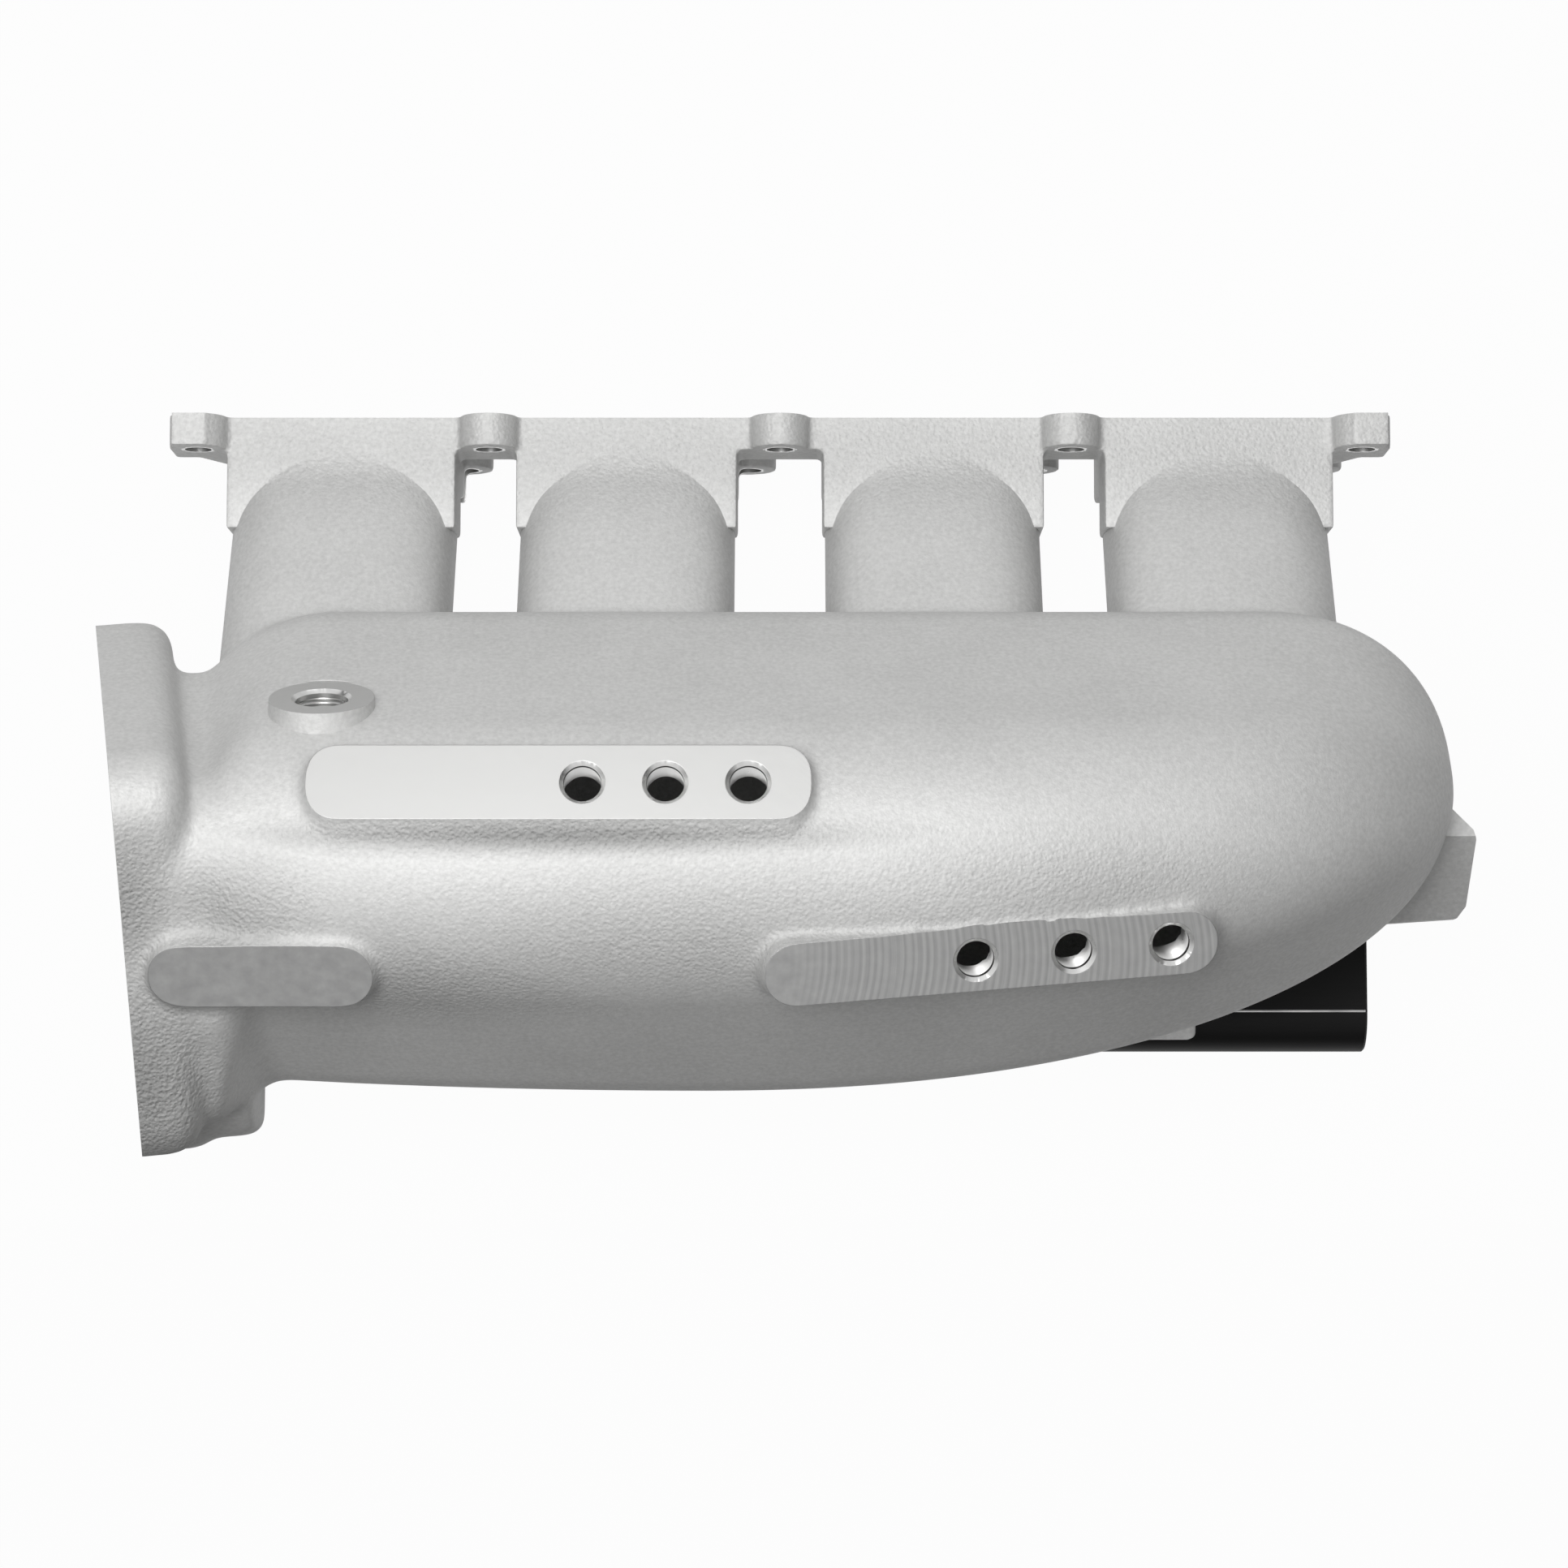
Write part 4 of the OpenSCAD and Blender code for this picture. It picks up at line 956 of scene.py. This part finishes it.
# ----------------------------------------
# Injectors. Four turned steel bodies with moulded connectors, held level between the rail and
# the bosses under the runners, with an O-ring in each end.
# ----------------------------------------
# Glass-filled nylon, moulded: near black and slightly glossy, with a fine spark-eroded grain.
nylon, tree = new_material("nylon_moulded")
skin = noise(tree, local_place(tree), 2500.0, 1.0)
surface(tree, "#1E1F21", Roughness=0.45, IOR=1.53, Normal=bump(tree, skin, 0.00003, 0.4))

upper_seal_y, body_r, groove, land = rail_face - 6.0, 8.5, cup_r - 3.5, cup_r - 0.4
axis_r = 0.05  # the least radius that an end closes to
injector_profile = [
    (-4.5, axis_r), (-4.5, 5.4), (-3.9, land - 0.6), (-2, land - 0.6), (-2, groove), (2, groove),
    (2, land), (4.6, land), (5, land - 0.4), (7, 5.5), (14, 5.5), (14.6, body_r - 0.5),
    (15.1, body_r), (21, body_r), (21.4, body_r - 0.5), (22.2, body_r - 0.5), (22.6, body_r),
    (37.5, body_r), (38, body_r - 0.5), (40, 6.2), (52, 6.2), (53, land), (58, land),
    (58, groove), (62, groove), (62, land - 0.6), (64, land - 0.6), (64.5, 5.6), (64.5, 3.2),
    (73.5, 3.2), (74, 2.7), (74, axis_r)]
for i, x in enumerate(port_x, 1):
    injector = turned(f"injector_body_{i}", injector_profile, (x, upper_seal_y, injector_z),
                      (0, 1, 0), 64)
    dress(injector, zinc_steel, f"injector_{i}")
coat(bpy.data.objects["injector_upper_seals"], nitrile)
coat(bpy.data.objects["injector_lower_seals"], nitrile)
coat(bpy.data.objects["injector_connectors"], nylon)

# ----------------------------------------
# Studio: a white table in a pale room, and a large soft lamp above and behind the part. Black
# cards in front and at the right, a grey one at the left and a grey sheet on the table in
# front keep the metal's near edges dark.
# ----------------------------------------
white_share = 0.97  # of the table for the eye; the rest is plain paint, which takes the shadow
room_light = 0.44
card_away, card_w, sheet_deep, sheet_before = 0.75, 1.6, 0.6, 0.02
table_gap, sheet_gap = 0.0005, 0.001  # below the part's lowest point, and above it


def seen(tree):
    """1 for a ray from the camera, a reflection or glass, and 0 for other light."""
    path = add_node(tree, "LightPath").outputs
    eye = compute(tree, "MAXIMUM", path["Is Camera Ray"], path["Is Glossy Ray"])
    return compute(tree, "MAXIMUM", eye, path["Is Transmission Ray"])


def sheet(name, size_x, size_y, at, turn=(0.0, 0.0, 0.0)):
    """A flat rectangle for the studio, placed and turned."""
    x, y = size_x / 2 / MM, size_y / 2 / MM
    made = add_mesh(name, [(-x, -y, 0), (x, -y, 0), (x, y, 0), (-x, y, 0)], [(0, 1, 2, 3)])
    made.location, made.rotation_euler = at, turn
    return made


def diffuse(tree, code):
    """A plain matt paint."""
    return add_node(tree, "BsdfDiffuse", {"Color": linear(code)}).outputs["BSDF"]


def glow(tree, kind, output, strength):
    """White light of its own from a surface or from the room."""
    inputs = {"Color": linear("#FFFFFF"), "Strength": strength}
    return add_node(tree, kind, inputs).outputs[output]


# Matt white emulsion on the table: all white to the eye, and grey in the light it throws back.
middle = (cad_low + cad_high) / 2
table_paint, tree = new_material("white_table")
share = compute(tree, "MULTIPLY", seen(tree), white_share)
inputs = {0: share, 1: diffuse(tree, "#A8A8A8"), 2: glow(tree, "Emission", "Emission", 1.0)}
mixed = add_node(tree, "MixShader", inputs).outputs["Shader"]
add_node(tree, "OutputMaterial", {"Surface": mixed})
table = sheet("table", 12, 12, (0, middle.y, cad_low.z - table_gap))
table.data.materials.append(table_paint)

room = bpy.data.worlds.new("pale_room")
bpy.context.scene.world = room
room.use_nodes = True
room.node_tree.nodes.clear()
tree = room.node_tree
dim, white = [glow(tree, "Background", "Background", light) for light in (room_light, 1.0)]
mixed = add_node(tree, "MixShader", {0: seen(tree), 1: dim, 2: white}).outputs["Shader"]
add_node(tree, "OutputWorld", {"Surface": mixed})

# Matt board in black and in grey: it gives no light, or little, to the metal's near edges.
black_paint, tree = new_material("black_card")
add_node(tree, "OutputMaterial", {"Surface": diffuse(tree, "#0A0A0A")})
grey_paint, tree = new_material("grey_card")
add_node(tree, "OutputMaterial", {"Surface": diffuse(tree, "#868686")})
cards = [("front_card", 0.0, 0.3, black_paint), ("right_card", 90.0, 0.6, black_paint),
         ("left_card", -90.0, 0.4, grey_paint)]
for name, turn, card_h, paint in cards:
    turn = math.radians(turn)
    at = middle + Vector((math.sin(turn), -math.cos(turn), 0)) * card_away
    at.z = cad_low.z + card_h / 2
    card = sheet(name, card_w, card_h, at, (math.radians(90), 0, turn))
    card.visible_camera = False
    card.data.materials.append(paint)
floor_card = sheet("floor_card", card_w, sheet_deep,
                   (0, cad_low.y - sheet_before - sheet_deep / 2, cad_low.z + sheet_gap))
floor_card.visible_camera = floor_card.visible_shadow = False
floor_card.data.materials.append(grey_paint)

key = bpy.data.lights.new("key", "AREA")
key.shape = "RECTANGLE"
key.size, key.size_y = 1.0, 0.55
key.energy = 12.6
lamp = bpy.data.objects.new("key", key)
lamp.location = middle + Vector((-0.22, 0.14, 1.3))
lamp.rotation_euler = (middle - lamp.location).to_track_quat("-Z", "Y").to_euler()
bpy.context.scene.collection.objects.link(lamp)

# A long lens straight above the part, leaning a little towards its front
view_tilt, view_distance = math.radians(5.3), 1.4
aim = Vector((0.0013, -0.119, 0.024))
lens = bpy.data.cameras.new("camera")
lens.sensor_width = 36.0
lens.lens = 100.17
camera = bpy.data.objects.new("camera", lens)
camera.location = aim + view_distance * Vector((0, -math.sin(view_tilt), math.cos(view_tilt)))
camera.rotation_euler = (view_tilt, 0, 0)
bpy.context.scene.collection.objects.link(camera)
bpy.context.scene.camera = camera
bpy.context.scene.view_settings.view_transform = "Standard"
